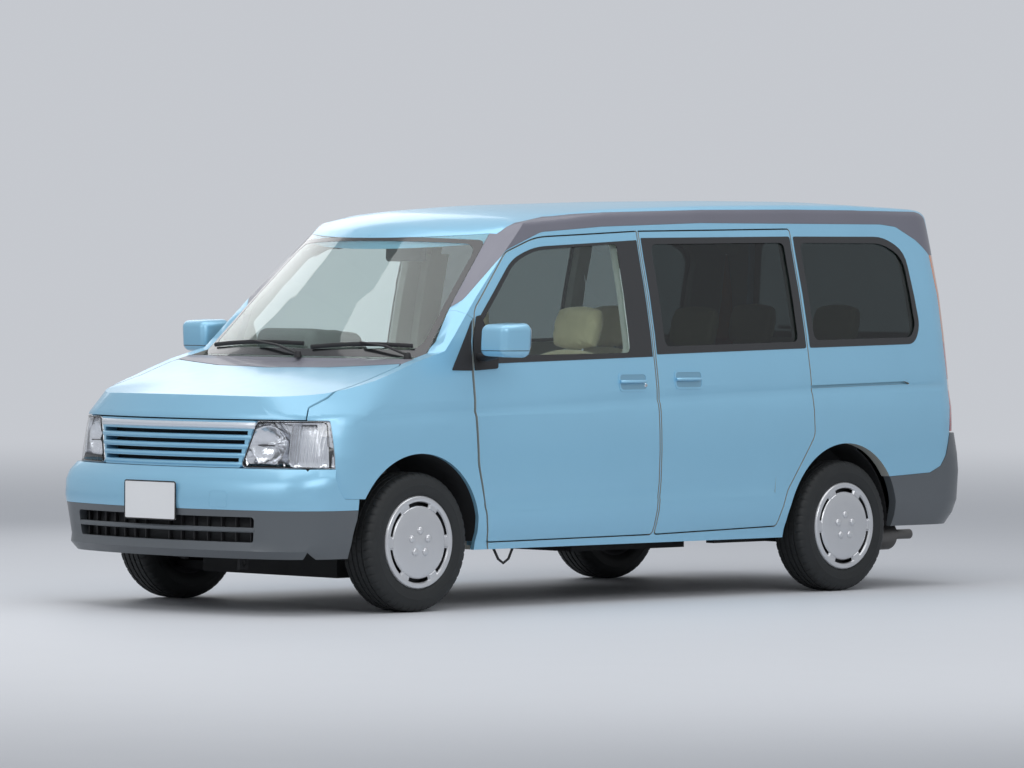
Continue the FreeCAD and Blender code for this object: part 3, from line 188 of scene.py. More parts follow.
paintTone = (0.270, 0.550, 0.745)
liningTone = (0.42, 0.43, 0.40)
sideLining = {"axis": "X", "colour": liningTone}
paint = panelPaint("bodyPaint")
sidePaint = panelPaint("sidePaint", sideLining)
doorPaint = panelPaint("doorPaint", {"axis": "X", "colour": liningTone, "level": 0.03})
roofPaint = panelPaint("roofPaint", {"axis": "Z", "colour": (0.62, 0.62, 0.58)})
tailPaint = panelPaint("tailgatePaint", {"axis": "Y", "colour": liningTone})
# painted shade: the door handle's recessed cup is the body paint darkened to three quarters, as if the hollow
# lay in shadow
cupPaintedShade = finish("handleCupPaintedShade", shaded(paintTone, 0.75), 0.3, metal=0.45, coat=1.0, spread=0.03,
                  grain=1400.0)
garnishGray = finish("garnishGray", (0.165, 0.165, 0.200), 0.38, metal=0.2, coat=0.3, lining=sideLining,
                     grain=900.0, bump=0.05)
cowlGray = finish("cowlGray", (0.20, 0.20, 0.235), 0.45, metal=0.15, coat=0.2, grain=900.0, bump=0.06)
bumperGray = finish("bumperGray", (0.105, 0.118, 0.130), 0.42, metal=0.15, coat=0.25, grain=700.0, bump=0.08)
frameBlack = finish("frameBlack", (0.012, 0.013, 0.015), 0.22, coat=0.6, grain=600.0, bump=0.02)
softBlack = finish("softBlack", (0.018, 0.018, 0.020), 0.6, grain=500.0, bump=0.25)
underBlack = finish("underbodyBlack", (0.020, 0.021, 0.023), 0.75, spread=0.25, broad=9.0, grain=260.0,
                    bump=0.4)
castMetal = finish("castMetal", (0.22, 0.22, 0.23), 0.5, metal=0.8, spread=0.2, broad=14.0, grain=220.0,
                   bump=0.35)
pipeMetal = finish("pipeMetal", (0.16, 0.155, 0.15), 0.42, metal=0.9, spread=0.2, broad=20.0)
coverSilver = finish("coverSilver", (0.62, 0.63, 0.65), 0.30, metal=0.75, coat=0.5, spread=0.03, grain=1500.0,
                     bump=0.03)
rimSteel = finish("rimSteel", (0.05, 0.05, 0.055), 0.5, metal=0.6, grain=500.0, bump=0.1)
brightMetal = finish("brightMetal", (0.86, 0.87, 0.88), 0.06, metal=1.0, spread=0.01, roughSpread=0.03,
                     bump=0.004)
mirrorGlass = finish("mirrorGlass", (0.85, 0.87, 0.88), 0.03, metal=1.0, spread=0.01, roughSpread=0.01,
                     bump=0.0)
lampChrome = finish("lampChrome", (0.80, 0.82, 0.86), 0.16, metal=0.9, spread=0.10, broad=45.0, grain=90.0,
                    bump=0.12)
grilleSilver = finish("grilleSilver", (0.70, 0.74, 0.80), 0.25, metal=0.5, coat=0.8, spread=0.02)
plateWhite = finish("plateWhite", (0.80, 0.81, 0.82), 0.35, coat=0.3, spread=0.02, grain=200.0, bump=0.03)
tyreRubber = finish("tyreRubber", (0.013, 0.015, 0.016), 0.64, spread=0.2, broad=12.0, grain=420.0, bump=0.12)
seatCloth = finish("seatCloth", (0.52, 0.45, 0.29), 0.85, sheen=0.35, spread=0.14, broad=16.0,
                   grain=520.0, bump=0.5)
seatShell = finish("seatShell", (0.10, 0.10, 0.10), 0.6, grain=480.0, bump=0.3)
dashPlastic = finish("dashPlastic", (0.115, 0.125, 0.120), 0.62, grain=420.0, bump=0.35)
wheelLeather = finish("wheelLeather", (0.075, 0.078, 0.075), 0.5, grain=380.0, bump=0.4)
tailLens = finish("tailLens", (0.5, 0.02, 0.02), 0.14, coat=1.0, broad=40.0, grain=160.0, bump=0.15, bands=[
    (0.0, (0.50, 0.012, 0.012)), (0.935, (0.78, 0.76, 0.78)), (0.990, (0.38, 0.02, 0.03)),
    (1.165, (0.62, 0.19, 0.05))])
stopLens = finish("stopLens", (0.42, 0.012, 0.014), 0.16, coat=1.0, spread=0.05, broad=30.0, grain=160.0,
                  bump=0.1)
clearGlass = glassFinish("clearGlass", (0.86, 0.95, 0.93), (0.80, 0.88, 0.86))
darkGlass = glassFinish("darkGlass", (0.16, 0.19, 0.19), (0.30, 0.34, 0.34))
lampGlass = glassFinish("lampGlass", (0.98, 0.99, 1.0), (0.95, 0.96, 0.97))

nodeFinishes = {
    "hood": paint, "fender_": sidePaint, "door_front_": doorPaint, "sliding_door": doorPaint,
    "body_side_": doorPaint,
    "front_bumper": paint, "front_bumper_lower": bumperGray, "rear_bumper": bumperGray, "roof": roofPaint,
    "roof_garnish_": garnishGray, "cowl": cowlGray, "tailgate": tailPaint, "grille": paint,
    "door_glass_": clearGlass, "windscreen": clearGlass, "sliding_door_glass": darkGlass,
    "quarter_glass_": darkGlass, "side_glass_": darkGlass, "tailgate_glass": darkGlass,
    "tail_lamp_": tailLens, "headlamp_": brightMetal, "tyre_": tyreRubber, "wheel_": coverSilver,
    "knuckle_": castMetal, "front_subframe": underBlack, "floor_pan": underBlack,
    "front_structure": underBlack,
    "engine_block": castMetal, "fuel_tank": underBlack, "rear_axle": underBlack, "exhaust": pipeMetal,
    "front_seats": seatCloth, "middle_seat": seatCloth, "rear_seat": seatCloth, "dashboard": dashPlastic,
    "steering_wheel": wheelLeather, "mirror_": paint, "front_plate": plateWhite,
}


def splitEdges(piece, angle):
    piece.modifiers.new("edges", "EDGE_SPLIT").split_angle = math.radians(angle)


def dressNodes():
    for name, node in nodes.items():
        matching = [key for key in nodeFinishes if name.startswith(key)]
        node.data.materials.clear()
        node.data.materials.append(nodeFinishes[max(matching, key=len)])
        node.modifiers.new("weld", "WELD").merge_threshold = 0.00002
        node.data.shade_smooth()
        splitEdges(node, 28)


dressNodes()
print("materials on the frame")


# shared makers

def turns(count):
    return [2 * math.pi * k / count for k in range(count)]


def spreadOut(half, count):
    return [half * (2 * i / count - 1) for i in range(count + 1)]


def linked(name, data):
    thing = bpy.data.objects.new(name, data)
    bpy.context.scene.collection.objects.link(thing)
    return thing


def riding(name, mesh, mat, body):
    # a smooth piece that moves with its body
    mesh.materials.append(mat)
    mesh.shade_smooth()
    piece = linked(name, mesh)
    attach(piece, body)
    return piece


def pieceFrom(name, verts, faces, mat, body, angle=35):
    mesh = bpy.data.meshes.new(name)
    mesh.from_pydata([tuple(v) for v in verts], [], faces)
    piece = riding(name, mesh, mat, body)
    if angle:
        splitEdges(piece, angle)
    return piece


def pieceOf(made, name, mat, body):
    # takes over the faces of an edit mesh, which ends here
    mesh = bpy.data.meshes.new(name)
    made.to_mesh(mesh)
    made.free()
    return riding(name, mesh, mat, body)


def loftFaces(rows, perRow, firstCap=False, lastCap=False):
    faces = []
    for r in range(rows - 1):
        for i in range(perRow):
            j = (i + 1) % perRow
            faces.append((r * perRow + i, r * perRow + j, (r + 1) * perRow + j, (r + 1) * perRow + i))
    if firstCap:
        faces.append(tuple(reversed(range(perRow))))
    if lastCap:
        faces.append(tuple((rows - 1) * perRow + i for i in range(perRow)))
    return faces


def outward(piece, facing=None):
    # the faces look out of the form, or, on an open skin, the given way
    made = bmesh.new()
    made.from_mesh(piece.data)
    bmesh.ops.remove_doubles(made, verts=made.verts, dist=0.00001)
    bmesh.ops.recalc_face_normals(made, faces=made.faces)
    if facing:
        made.normal_update()
        total = sum((f.normal * f.calc_area() for f in made.faces), Vector())
        if total.dot(Vector(facing)) < 0:
            bmesh.ops.reverse_faces(made, faces=made.faces)
    made.to_mesh(piece.data)
    made.free()
    return piece


def walled(piece, thickness, first=True):
    # gives an open skin its thickness, before its edges are split
    wall = piece.modifiers.new("wall", "SOLIDIFY")
    wall.thickness = thickness
    wall.offset = -1.0
    if first and len(piece.modifiers) > 1:
        piece.modifiers.move(1, 0)
    return piece


def tubeAlong(name, path, radius, mat, body, sidesRound=10, flat=1.0, closed=False):
    verts = []
    count = len(path)
    for i, point in enumerate(path):
        before = path[i - 1] if (i or closed) else path[i]
        after = path[(i + 1) % count] if (i < count - 1 or closed) else path[i]
        along = (Vector(after) - Vector(before)).normalized()
        across = along.cross(Vector((0, 0, 1)))
        if across.length < 0.1:
            across = along.cross(Vector((0, 1, 0)))
        across.normalize()
        up = across.cross(along) * flat
        verts += [Vector(point) + across * radius * math.cos(turn) + up * radius * math.sin(turn)
                  for turn in turns(sidesRound)]
    faces = loftFaces(count, sidesRound, not closed, not closed)
    if closed:
        last = (count - 1) * sidesRound
        for k in range(sidesRound):
            j = (k + 1) % sidesRound
            faces.append((last + k, last + j, j, k))
    return outward(pieceFrom(name, verts, faces, mat, body))


def bevelledCube(size, bevel, segments):
    made = bmesh.new()
    bmesh.ops.create_cube(made, size=1.0)
    bmesh.ops.scale(made, vec=size, verts=made.verts)
    bmesh.ops.bevel(made, geom=made.edges[:], offset=bevel, segments=segments, profile=0.5, affect="EDGES")
    return made


def roundedBox(name, low, high, mat, body, bevel=0.01, segments=4, turn=None):
    low, high = Vector(low), Vector(high)
    made = bevelledCube(high - low, bevel, segments)
    if turn:
        bmesh.ops.rotate(made, verts=made.verts, matrix=turn)
    bmesh.ops.translate(made, verts=made.verts, vec=(low + high) / 2)
    return pieceOf(made, name, mat, body)


def spun(name, profile, centre, axis, mat, body, steps=24):
    verts = []
    for radius, along in profile:
        for turn in turns(steps):
            u, v = radius * math.cos(turn), radius * math.sin(turn)
            spot = {"X": (along, u, v), "Y": (u, along, v), "Z": (u, v, along)}[axis]
            verts.append(Vector(spot) + Vector(centre))
    return outward(pieceFrom(name, verts, loftFaces(len(profile), steps), mat, body, angle=30))


# the body side as a surface

# height, half width, nose reach, nose corner, front taper, all in metres
sideRows = [
    (0.2325, 0.783, 2.270, 0.275, 0.0), (0.343, 0.814, 2.270, 0.275, 0.0),
    (0.413, 0.832, 2.270, 0.275, 0.0), (0.552, 0.843, 2.270, 0.275, 0.0),
    (0.688, 0.8475, 2.258, 0.300, 0.0), (0.780, 0.846, 2.249, 0.340, 0.0),
    (0.860, 0.8416, 2.244, 0.390, 0.0), (0.930, 0.8306, 2.204, 0.480, 0.0),
    (1.0498, 0.8153, 2.1295, 0.560, 0.0102), (1.2122, 0.7899, 1.959, 0.500, 0.0186),
    (1.4004, 0.7534, 1.749, 0.450, 0.0280), (1.5793, 0.7111, 1.520, 0.400, 0.0322),
    (1.8634, 0.6492, 1.179, 0.350, 0.0356),
]
taperStart = -0.35025
noseCrown = 1.750


def sideX(y, z):
    for low, high in zip(sideRows, sideRows[1:]):
        if z <= high[0]:
            break
    share = min(1.0, max(0.0, (z - low[0]) / (high[0] - low[0])))
    row = [a + (b - a) * share for a, b in zip(low, high)]
    half, nose, corner, taper = row[1:]
    if y >= taperStart:
        return half
    cornerX = half - taper - corner
    cornerY = -(nose - noseCrown) - math.sqrt((noseCrown - corner) ** 2 - cornerX ** 2)
    return half - taper * min(1.0, (taperStart - y) / (taperStart - cornerY))


def roundedLoop(corners, perEdge=8, perCorner=4):
    # corners: (u, v, radius); gives an evenly built closed loop with the same count for the same corners
    loop = []
    count = len(corners)
    for i, (u, v, radius) in enumerate(corners):
        before = Vector(corners[i - 1][:2])
        here = Vector((u, v))
        after = Vector(corners[(i + 1) % count][:2])
        into, out = (here - before).normalized(), (after - here).normalized()
        back = min(radius, (here - before).length / 2.2, (after - here).length / 2.2)
        start, end = here - into * back, here + out * back
        for k in range(perCorner + 1):
            t = k / perCorner
            loop.append(start * (1 - t) ** 2 + here * 2 * t * (1 - t) + end * t * t)
        nextBack = min(corners[(i + 1) % count][2], (after - here).length / 2.2)
        target = after - out * nextBack
        for k in range(1, perEdge):
            loop.append(end + (target - end) * (k / perEdge))
    return loop


def onSide(point, lift, way):
    x = sideX(point[0], point[1]) + lift
    return Vector((way * x, point[0], point[1]))


def sidePlace(way):
    def place(point, lift):
        return onSide(point, lift, way)
    return place


def rectangle(low, high, radius):
    (u0, v0), (u1, v1) = low, high
    return [(u0, v0, radius), (u1, v0, radius), (u1, v1, radius), (u0, v1, radius)]


def surfaceBand(name, outer, inner, place, mat, body, facing, lift=0.0015, thickness=0.003, across=4,
                perEdge=10):
    # a thin skin between two loops, or inside one, laid on a surface that place() gives
    outerLoop = roundedLoop(outer, perEdge)
    if inner:
        innerLoop = roundedLoop(inner, perEdge)
    else:
        middle = sum(outerLoop, Vector((0, 0))) / len(outerLoop)
        innerLoop = [middle + (p - middle) * 0.02 for p in outerLoop]
    verts = []
    for r in range(across + 1):
        verts += [place(a.lerp(b, r / across), lift) for a, b in zip(outerLoop, innerLoop)]
    faces = loftFaces(across + 1, len(outerLoop), lastCap=inner is None)
    return walled(outward(pieceFrom(name, verts, faces, mat, body), facing), thickness)


def treeOf(names):
    verts, faces = [], []
    for name in names:
        start = len(verts)
        verts += [v.co.copy() for v in nodes[name].data.vertices]
        faces += [tuple(start + i for i in p.vertices) for p in nodes[name].data.polygons]
    return BVHTree.FromPolygons(verts, faces)


def projector(names, start, way):
    # place(point, lift): where a ray along Y first meets these nodes
    # a ray that misses takes the nearest spot at the depth of the last hit
    tree = treeOf(names)
    reached = {"depth": 1.3}
    direction = Vector((0, way, 0))

    def place(point, lift):
        origin = Vector((point[0], start, point[1]))
        hit, normal, index, distance = tree.ray_cast(origin, direction)
        if hit is None:
            hit, normal = tree.find_nearest(origin + direction * reached["depth"])[0], -direction
        else:
            reached["depth"] = distance
        if normal.dot(direction) > 0:
            normal = -normal
        return hit + normal * lift
    return place


# window borders

windowTrim = {
    "front": {
        "outer": [(-1.080, 1.270, 0.006), (-0.795, 1.5555, 0.060), (-0.645, 1.612, 0.150),
                  (0.018, 1.647, 0.006), (0.018, 1.114, 0.004), (-0.998, 1.090, 0.004)],
        "inner": [(-1.054, 1.262, 0.015), (-0.783, 1.540, 0.060), (-0.640, 1.597, 0.150),
                  (-0.118, 1.629, 0.030), (-0.127, 1.133, 0.030), (-0.978, 1.124, 0.015)],
    },
    "middle": {
        "outer": [(0.048, 1.657, 0.006), (1.066, 1.672, 0.015), (1.070, 1.147, 0.015), (0.048, 1.124, 0.006)],
        "inner": [(0.108, 1.629, 0.035), (1.018, 1.642, 0.035), (1.018, 1.178, 0.035), (0.108, 1.160, 0.035)],
    },
    "rear": {
        "outer": [(1.089, 1.672, 0.010), (1.735, 1.676, 0.090), (1.872, 1.606, 0.080), (1.899, 1.250, 0.060),
                  (1.846, 1.164, 0.050), (1.096, 1.149, 0.010)],
        "inner": [(1.132, 1.642, 0.035), (1.722, 1.644, 0.090), (1.852, 1.576, 0.070), (1.866, 1.250, 0.050),
                  (1.824, 1.196, 0.045), (1.132, 1.184, 0.035)],
    },
}
endTrim = {
    "screen": {
        "outer": [(-0.720, 1.118, 0.010), (0.720, 1.118, 0.010), (0.586, 1.640, 0.030), (0.30, 1.652, 0.3),
                  (0.0, 1.655, 0.3), (-0.30, 1.652, 0.3), (-0.586, 1.640, 0.030)],
        "inner": [(-0.680, 1.150, 0.060), (0.680, 1.150, 0.060), (0.570, 1.622, 0.060), (0.30, 1.634, 0.3),
                  (0.0, 1.637, 0.3), (-0.30, 1.634, 0.3), (-0.570, 1.622, 0.060)],
    },
    "tail": {
        "outer": [(-0.606, 1.160, 0.05), (0.606, 1.160, 0.05), (0.560, 1.708, 0.05), (-0.560, 1.708, 0.05)],
        "inner": [(-0.552, 1.214, 0.05), (0.552, 1.214, 0.05), (0.508, 1.655, 0.05), (-0.508, 1.655, 0.05)],
    },
}
tailNodes = ["tailgate", "tailgate_glass"]


def makeWindowTrim():
    def band(name, trim, place, body, facing, **more):
        surfaceBand(name, trim["outer"], trim["inner"], place, frameBlack, body, facing, **more)
    for side, way in sides:
        door = "door_front_" + side
        band("frontWindowFrame_" + side, windowTrim["front"], sidePlace(way), door, (way, 0, 0))
        for key in ("middle", "rear"):
            band(f"{key}WindowBorder_{side}", windowTrim[key], sidePlace(way), "root", (way, 0, 0))
    band("screenBorder", endTrim["screen"], projector(["windscreen"], -3.0, 1), "root", (0, -1, 0),
         lift=0.0006, thickness=0.001, perEdge=22)
    band("tailWindowBorder", endTrim["tail"], projector(tailNodes, 3.0, -1), "tailgate", (0, 1, 0),
         perEdge=22)


makeWindowTrim()
print("window borders made")


# wheels and tyres

wheelSizes = {
    "track": 0.742, "frontAxle": -1.497, "rearAxle": 1.306, "height": 0.308, "treadSteps": 288,
    "shoulderDepth": 0.0045, "ribDepth": 0.0025,
    "coverRadius": 0.2065, "coverSteps": 216, "coverSpot": 0.0885, "coverWall": 0.0025,
    "slots": 6, "slotHalf": 0.36, "bridgeHalf": 0.13, "bridgeRise": 0.0062,
    "nuts": 5, "nutRing": 0.052, "nutRadius": 0.0180, "nutSpot": 0.1000, "nutFlat": 0.62,
    # radius, distance from the middle plane: bead, side wall, shoulder, two grooves of one half
    "tyre": [
        (0.194, -0.079), (0.200, -0.086), (0.208, -0.089), (0.212, -0.0925), (0.222, -0.0955),
        (0.234, -0.0975), (0.246, -0.0972), (0.252, -0.0985), (0.256, -0.0970), (0.270, -0.0950),
        (0.282, -0.0905), (0.290, -0.0865), (0.297, -0.0815), (0.3025, -0.0745), (0.3055, -0.0660),
        (0.3068, -0.0560), (0.3072, -0.0500), (0.3012, -0.0490), (0.3012, -0.0430), (0.3077, -0.0420),
        (0.3080, -0.0200), (0.3080, -0.0190), (0.3020, -0.0180), (0.3020, -0.0110), (0.3080, -0.0100),
    ],
    # share of the cover's radius, how far the face stands out there
    "cover": [
        (0.0, 0.0165), (0.10, 0.0165), (0.14, 0.0130), (0.19, 0.0125), (0.62, 0.0100), (0.72, 0.0080),
        (0.760, 0.0060), (0.780, 0.0010), (0.856, 0.0010), (0.876, 0.0085), (0.930, 0.0110), (0.965, 0.0100),
        (0.985, 0.0060), (1.0, -0.0020)],
    "coverRings": [
        0.0, 0.05, 0.10, 0.14, 0.19, 0.30, 0.42, 0.53, 0.62, 0.70, 0.74, 0.760, 0.770, 0.780, 0.800, 0.820,
        0.842, 0.856, 0.876, 0.90, 0.930, 0.950, 0.965, 0.976, 0.985, 1.0],
    # radius, distance from the middle plane
    "rim": [
        (0.1935, -0.077), (0.2030, -0.079), (0.2030, -0.076), (0.190, -0.070), (0.178, -0.060),
        (0.172, -0.020), (0.172, 0.030), (0.182, 0.066), (0.1935, 0.074), (0.2010, 0.0790),
        (0.2010, 0.0820), (0.1920, 0.0825), (0.1860, 0.076), (0.1780, 0.050), (0.160, 0.050),
        (0.120, 0.060), (0.080, 0.048), (0.004, 0.044), (0.004, 0.038), (0.080, 0.042), (0.120, 0.052),
        (0.155, 0.042), (0.166, 0.030), (0.166, -0.062), (0.184, -0.0745), (0.1935, -0.077)],
}


def tyreMesh(centre, way):
    w = wheelSizes
    profile = w["tyre"] + [(a, -b) for a, b in reversed(w["tyre"])]
    steps = w["treadSteps"]
    verts = []
    for radius, x in profile:
        shoulder = 0.050 < abs(x) < 0.0900 and radius > 0.285
        rib = abs(x) < 0.0425 and radius > 0.304
        for k in range(steps):
            sunk = 0.0
            if shoulder and (k + (2 if x > 0 else 0)) % 6 == 0:
                sunk = w["shoulderDepth"]
            if rib and (k + (1 if abs(x) < 0.015 else 4)) % 8 == 0:
                sunk = w["ribDepth"]
            turn = 2 * math.pi * (k + 0.4 * math.sin(x * 60)) / steps
            d = radius - sunk
            verts.append(Vector((way * x, d * math.cos(turn), d * math.sin(turn))) + centre)
    return verts, loftFaces(len(profile), steps)


def slotOffset(angle):
    # how far an angle is from the middle of its slot
    step = 2 * math.pi / wheelSizes["slots"]
    return abs((angle + step / 2) % step - step / 2)


def coverHeight(share, angle):
    w = wheelSizes
    for a, b in zip(w["cover"], w["cover"][1:]):
        if share <= b[0]:
            break
    height = a[1] + (b[1] - a[1]) * (share - a[0]) / (b[0] - a[0])
    # the bridges between the slots rise to the rim's level
    onBridge = slotOffset(angle) > math.pi / w["slots"] - w["bridgeHalf"]
    return height + (w["bridgeRise"] if 0.770 <= share <= 0.875 and onBridge else 0.0)


def coverMesh(centre, way):
    w = wheelSizes
    rings, steps = w["coverRings"], w["coverSteps"]
    verts, faces = [], []
    for share in rings:
        for turn in turns(steps):
            d = max(share, 0.002) * w["coverRadius"]
            x = way * (w["coverSpot"] + coverHeight(share, turn))
            verts.append(Vector((x, d * math.sin(turn), d * math.cos(turn))) + centre)
    for r in range(len(rings) - 1):
        inSlot = 0.775 <= rings[r] and rings[r + 1] <= 0.86
        for k in range(steps):
            if inSlot and slotOffset(2 * math.pi * (k + 0.5) / steps) < w["slotHalf"]:
                continue
            j = (k + 1) % steps
            faces.append((r * steps + k, r * steps + j, (r + 1) * steps + j, (r + 1) * steps + k))
    faces.append(tuple(range(steps)))
    return verts, faces


def nutField(name, centre, mat, body):
    # domed nut caps stand in a ring round the middle of the cover
    w = wheelSizes
    tree = bpy.data.node_groups.new(name + "Tree", "GeometryNodeTree")
    values = {"Count": w["nuts"], "Ring": w["nutRing"], "Cap": w["nutRadius"]}
    for label, value in values.items():
        kind = "NodeSocketInt" if isinstance(value, int) else "NodeSocketFloat"
        tree.interface.new_socket(label, in_out="INPUT", socket_type=kind)
    tree.interface.new_socket("Geometry", in_out="OUTPUT", socket_type="NodeSocketGeometry")
    start = addNode(tree, "NodeGroupInput")
    circle = addNode(tree, "GeometryNodeMeshCircle")
    cap = addNode(tree, "GeometryNodeMeshUVSphere", {"Segments": 24, "Rings": 12})
    onPoints = addNode(tree, "GeometryNodeInstanceOnPoints")
    real = addNode(tree, "GeometryNodeRealizeInstances")
    smooth = addNode(tree, "GeometryNodeSetShadeSmooth")
    painted = addNode(tree, "GeometryNodeSetMaterial", {"Material": mat})
    wire(tree, start, "Count", circle, "Vertices")
    wire(tree, start, "Ring", circle, "Radius")
    wire(tree, start, "Cap", cap, "Radius")
    wire(tree, circle, "Mesh", onPoints, "Points")
    wire(tree, cap, "Mesh", onPoints, "Instance")
    wire(tree, onPoints, "Instances", real, "Geometry")
    wire(tree, real, "Geometry", smooth, "Geometry")
    wire(tree, smooth, "Geometry", painted, "Geometry")
    wire(tree, painted, "Geometry", addNode(tree, "NodeGroupOutput"), "Geometry")
    carrier = linked(name + "Carrier", bpy.data.meshes.new(name + "Carrier"))
    modifier = carrier.modifiers.new("nuts", "NODES")
    modifier.node_group = tree
    for item in tree.interface.items_tree:
        if item.in_out == "INPUT":
            modifier[item.identifier] = values[item.name]
    carrier.update_tag()
    graph = bpy.context.evaluated_depsgraph_get()
    mesh = bpy.data.meshes.new_from_object(carrier.evaluated_get(graph))
    bpy.data.objects.remove(carrier)
    tilt = Matrix.Rotation(math.radians(90), 4, "Y") @ Matrix.Rotation(math.radians(180), 4, "Z")
    mesh.transform(Matrix.Translation(centre) @ Matrix.Diagonal((w["nutFlat"], 1.0, 1.0, 1.0)) @ tilt)
    mesh.name = name
    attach(linked(name, mesh), body)


def makeWheel(corner, way):
    w = wheelSizes
    axle = w["frontAxle"] if corner.startswith("front") else w["rearAxle"]
    centre = Vector((way * w["track"], axle, w["height"]))
    body = "wheel_" + corner
    tyre = outward(pieceFrom("tyreTread_" + corner, *tyreMesh(centre, way), tyreRubber, body, angle=32))
    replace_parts(tyre, "tyre_" + corner)
    cover = pieceFrom("wheelCover_" + corner, *coverMesh(centre, way), coverSilver, body, angle=40)
    walled(outward(cover, (way, 0, 0)), w["coverWall"])
    rimProfile = [(a, way * b) for a, b in w["rim"]]
    rim = spun("wheelRim_" + corner, rimProfile, centre, "X", rimSteel, body, steps=72)
    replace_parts(rim, "wheel_" + corner)
    nutField("nutCaps_" + corner, centre + Vector((way * w["nutSpot"], 0, 0)), coverSilver, body)


for corner, way in (("front_left", 1), ("front_right", -1), ("rear_left", 1), ("rear_right", -1)):
    makeWheel(corner, way)
print("wheels made")


# the nose: grille, lamps, intake, plate

grille = {
    # height and Y of the crowned face at its foot and head
    "foot": (0.639, -2.2585), "head": (0.844, -2.2445), "halfFoot": 0.4450, "slope": 0.32, "steps": 48,
    "slatHeights": [0.652, 0.691, 0.730, 0.770], "slatSpan": (-0.0085, 0.0125), "slatDepth": 0.010,
    "topBar": (0.806, 0.838), "topDepth": 0.011,
    # share of the bar's height, share of its depth
    "section": [(0.0, -0.35), (0.10, 0.25), (0.28, 0.72), (0.5, 1.0), (0.72, 0.86), (0.90, 0.42),
                (1.0, -0.35)],
}


def grilleY(x, z):
    # two crowned levels of the nose joined by straight lines
    low, high = grille["foot"], grille["head"]
    tip = low[1] + (high[1] - low[1]) * (z - low[0]) / (high[0] - low[0])
    return tip + noseCrown - math.sqrt(noseCrown ** 2 - x * x)


def barAlong(name, low, high, depth, mat):
    # a bar with a rounded face that follows the nose between two heights
    g = grille
    half = g["halfFoot"] + ((low + high) / 2 - g["foot"][0]) * g["slope"]
    verts = []
    for i, x in enumerate(spreadOut(half, g["steps"])):
        taper = 1.0 if 0 < i < g["steps"] else 0.3
        for up, out in g["section"]:
            z = low + (high - low) * up
            verts.append(Vector((x, grilleY(x, z) - depth * out * taper, z)))
    faces = loftFaces(g["steps"] + 1, len(g["section"]), True, True)
    outward(pieceFrom(name, verts, faces, mat, "root", angle=50))


for i, z in enumerate(grille["slatHeights"]):
    down, up = grille["slatSpan"]
    barAlong(f"grilleSlat_{i}", z + down, z + up, grille["slatDepth"], paint)
barAlong("grilleTopBar", *grille["topBar"], grille["topDepth"], grilleSilver)


lampSizes = {
    "bowlCentre": (0.555, 0.742), "bowlRadius": 0.082, "bowlDepth": 0.0372, "bowlRings": 12, "bowlSteps": 48,
    "bowlInset": 0.014, "flutes": 16, "fluteDepth": 0.0012, "wall": 0.003, "shellWall": 0.002,
    # radius, depth behind the front of the bowl
    "bulb": [(0.001, 0.0), (0.006, 0.001), (0.0085, 0.007), (0.0085, 0.030), (0.011, 0.032), (0.011, 0.042),
             (0.001, 0.043)],
    # across and back from the middle of the bowl
    "shadeBar": [(-0.090, 0.010), (-0.020, -0.001), (0.045, 0.002)], "shadeDrop": 0.004,
    "divide": 0.668, "divideHeights": (0.655, 0.70, 0.75, 0.80, 0.832), "divideDepths": (0.005, 0.060),
    "ribs": 9, "ribStart": 0.014, "ribStep": 0.0115, "ribDepth": 0.012,
    "ribHeights": (0.668, 0.72, 0.77, 0.822),
    "rimOuter": [(0.448, 0.641, 0.006), (0.816, 0.641, 0.006), (0.812, 0.843, 0.012), (0.512, 0.843, 0.006)],
    "rimInner": [(0.456, 0.646, 0.006), (0.808, 0.646, 0.006), (0.804, 0.838, 0.012), (0.516, 0.838, 0.006)],
}


def rayBack(tree, x, z):
    return tree.ray_cast(Vector((x, -3.5, z)), Vector((0, 1, 0)))[0]


def lampFront(faces, way):
    return [f for f in faces if f.normal.y < -0.25 or f.normal.x * way > 0.45]


def makeHeadlamp(side, way):
    front = bmesh.new()
    front.from_mesh(nodes["headlamp_" + side].data)
    bmesh.ops.remove_doubles(front, verts=front.verts, dist=0.00002)
    front.normal_update()
    shell = front.copy()
    shell.normal_update()
    lensFaces = set(lampFront(front.faces, way))
    bmesh.ops.delete(front, geom=[f for f in front.faces if f not in lensFaces], context="FACES")
    bmesh.ops.delete(shell, geom=lampFront(shell.faces, way), context="FACES")
    walled(pieceOf(front, "lampLens_" + side, lampGlass, "root"), lampSizes["wall"])
    housing = walled(pieceOf(shell, "lampHousing_" + side, lampChrome, "root"), lampSizes["shellWall"])
    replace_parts(housing, "headlamp_" + side)


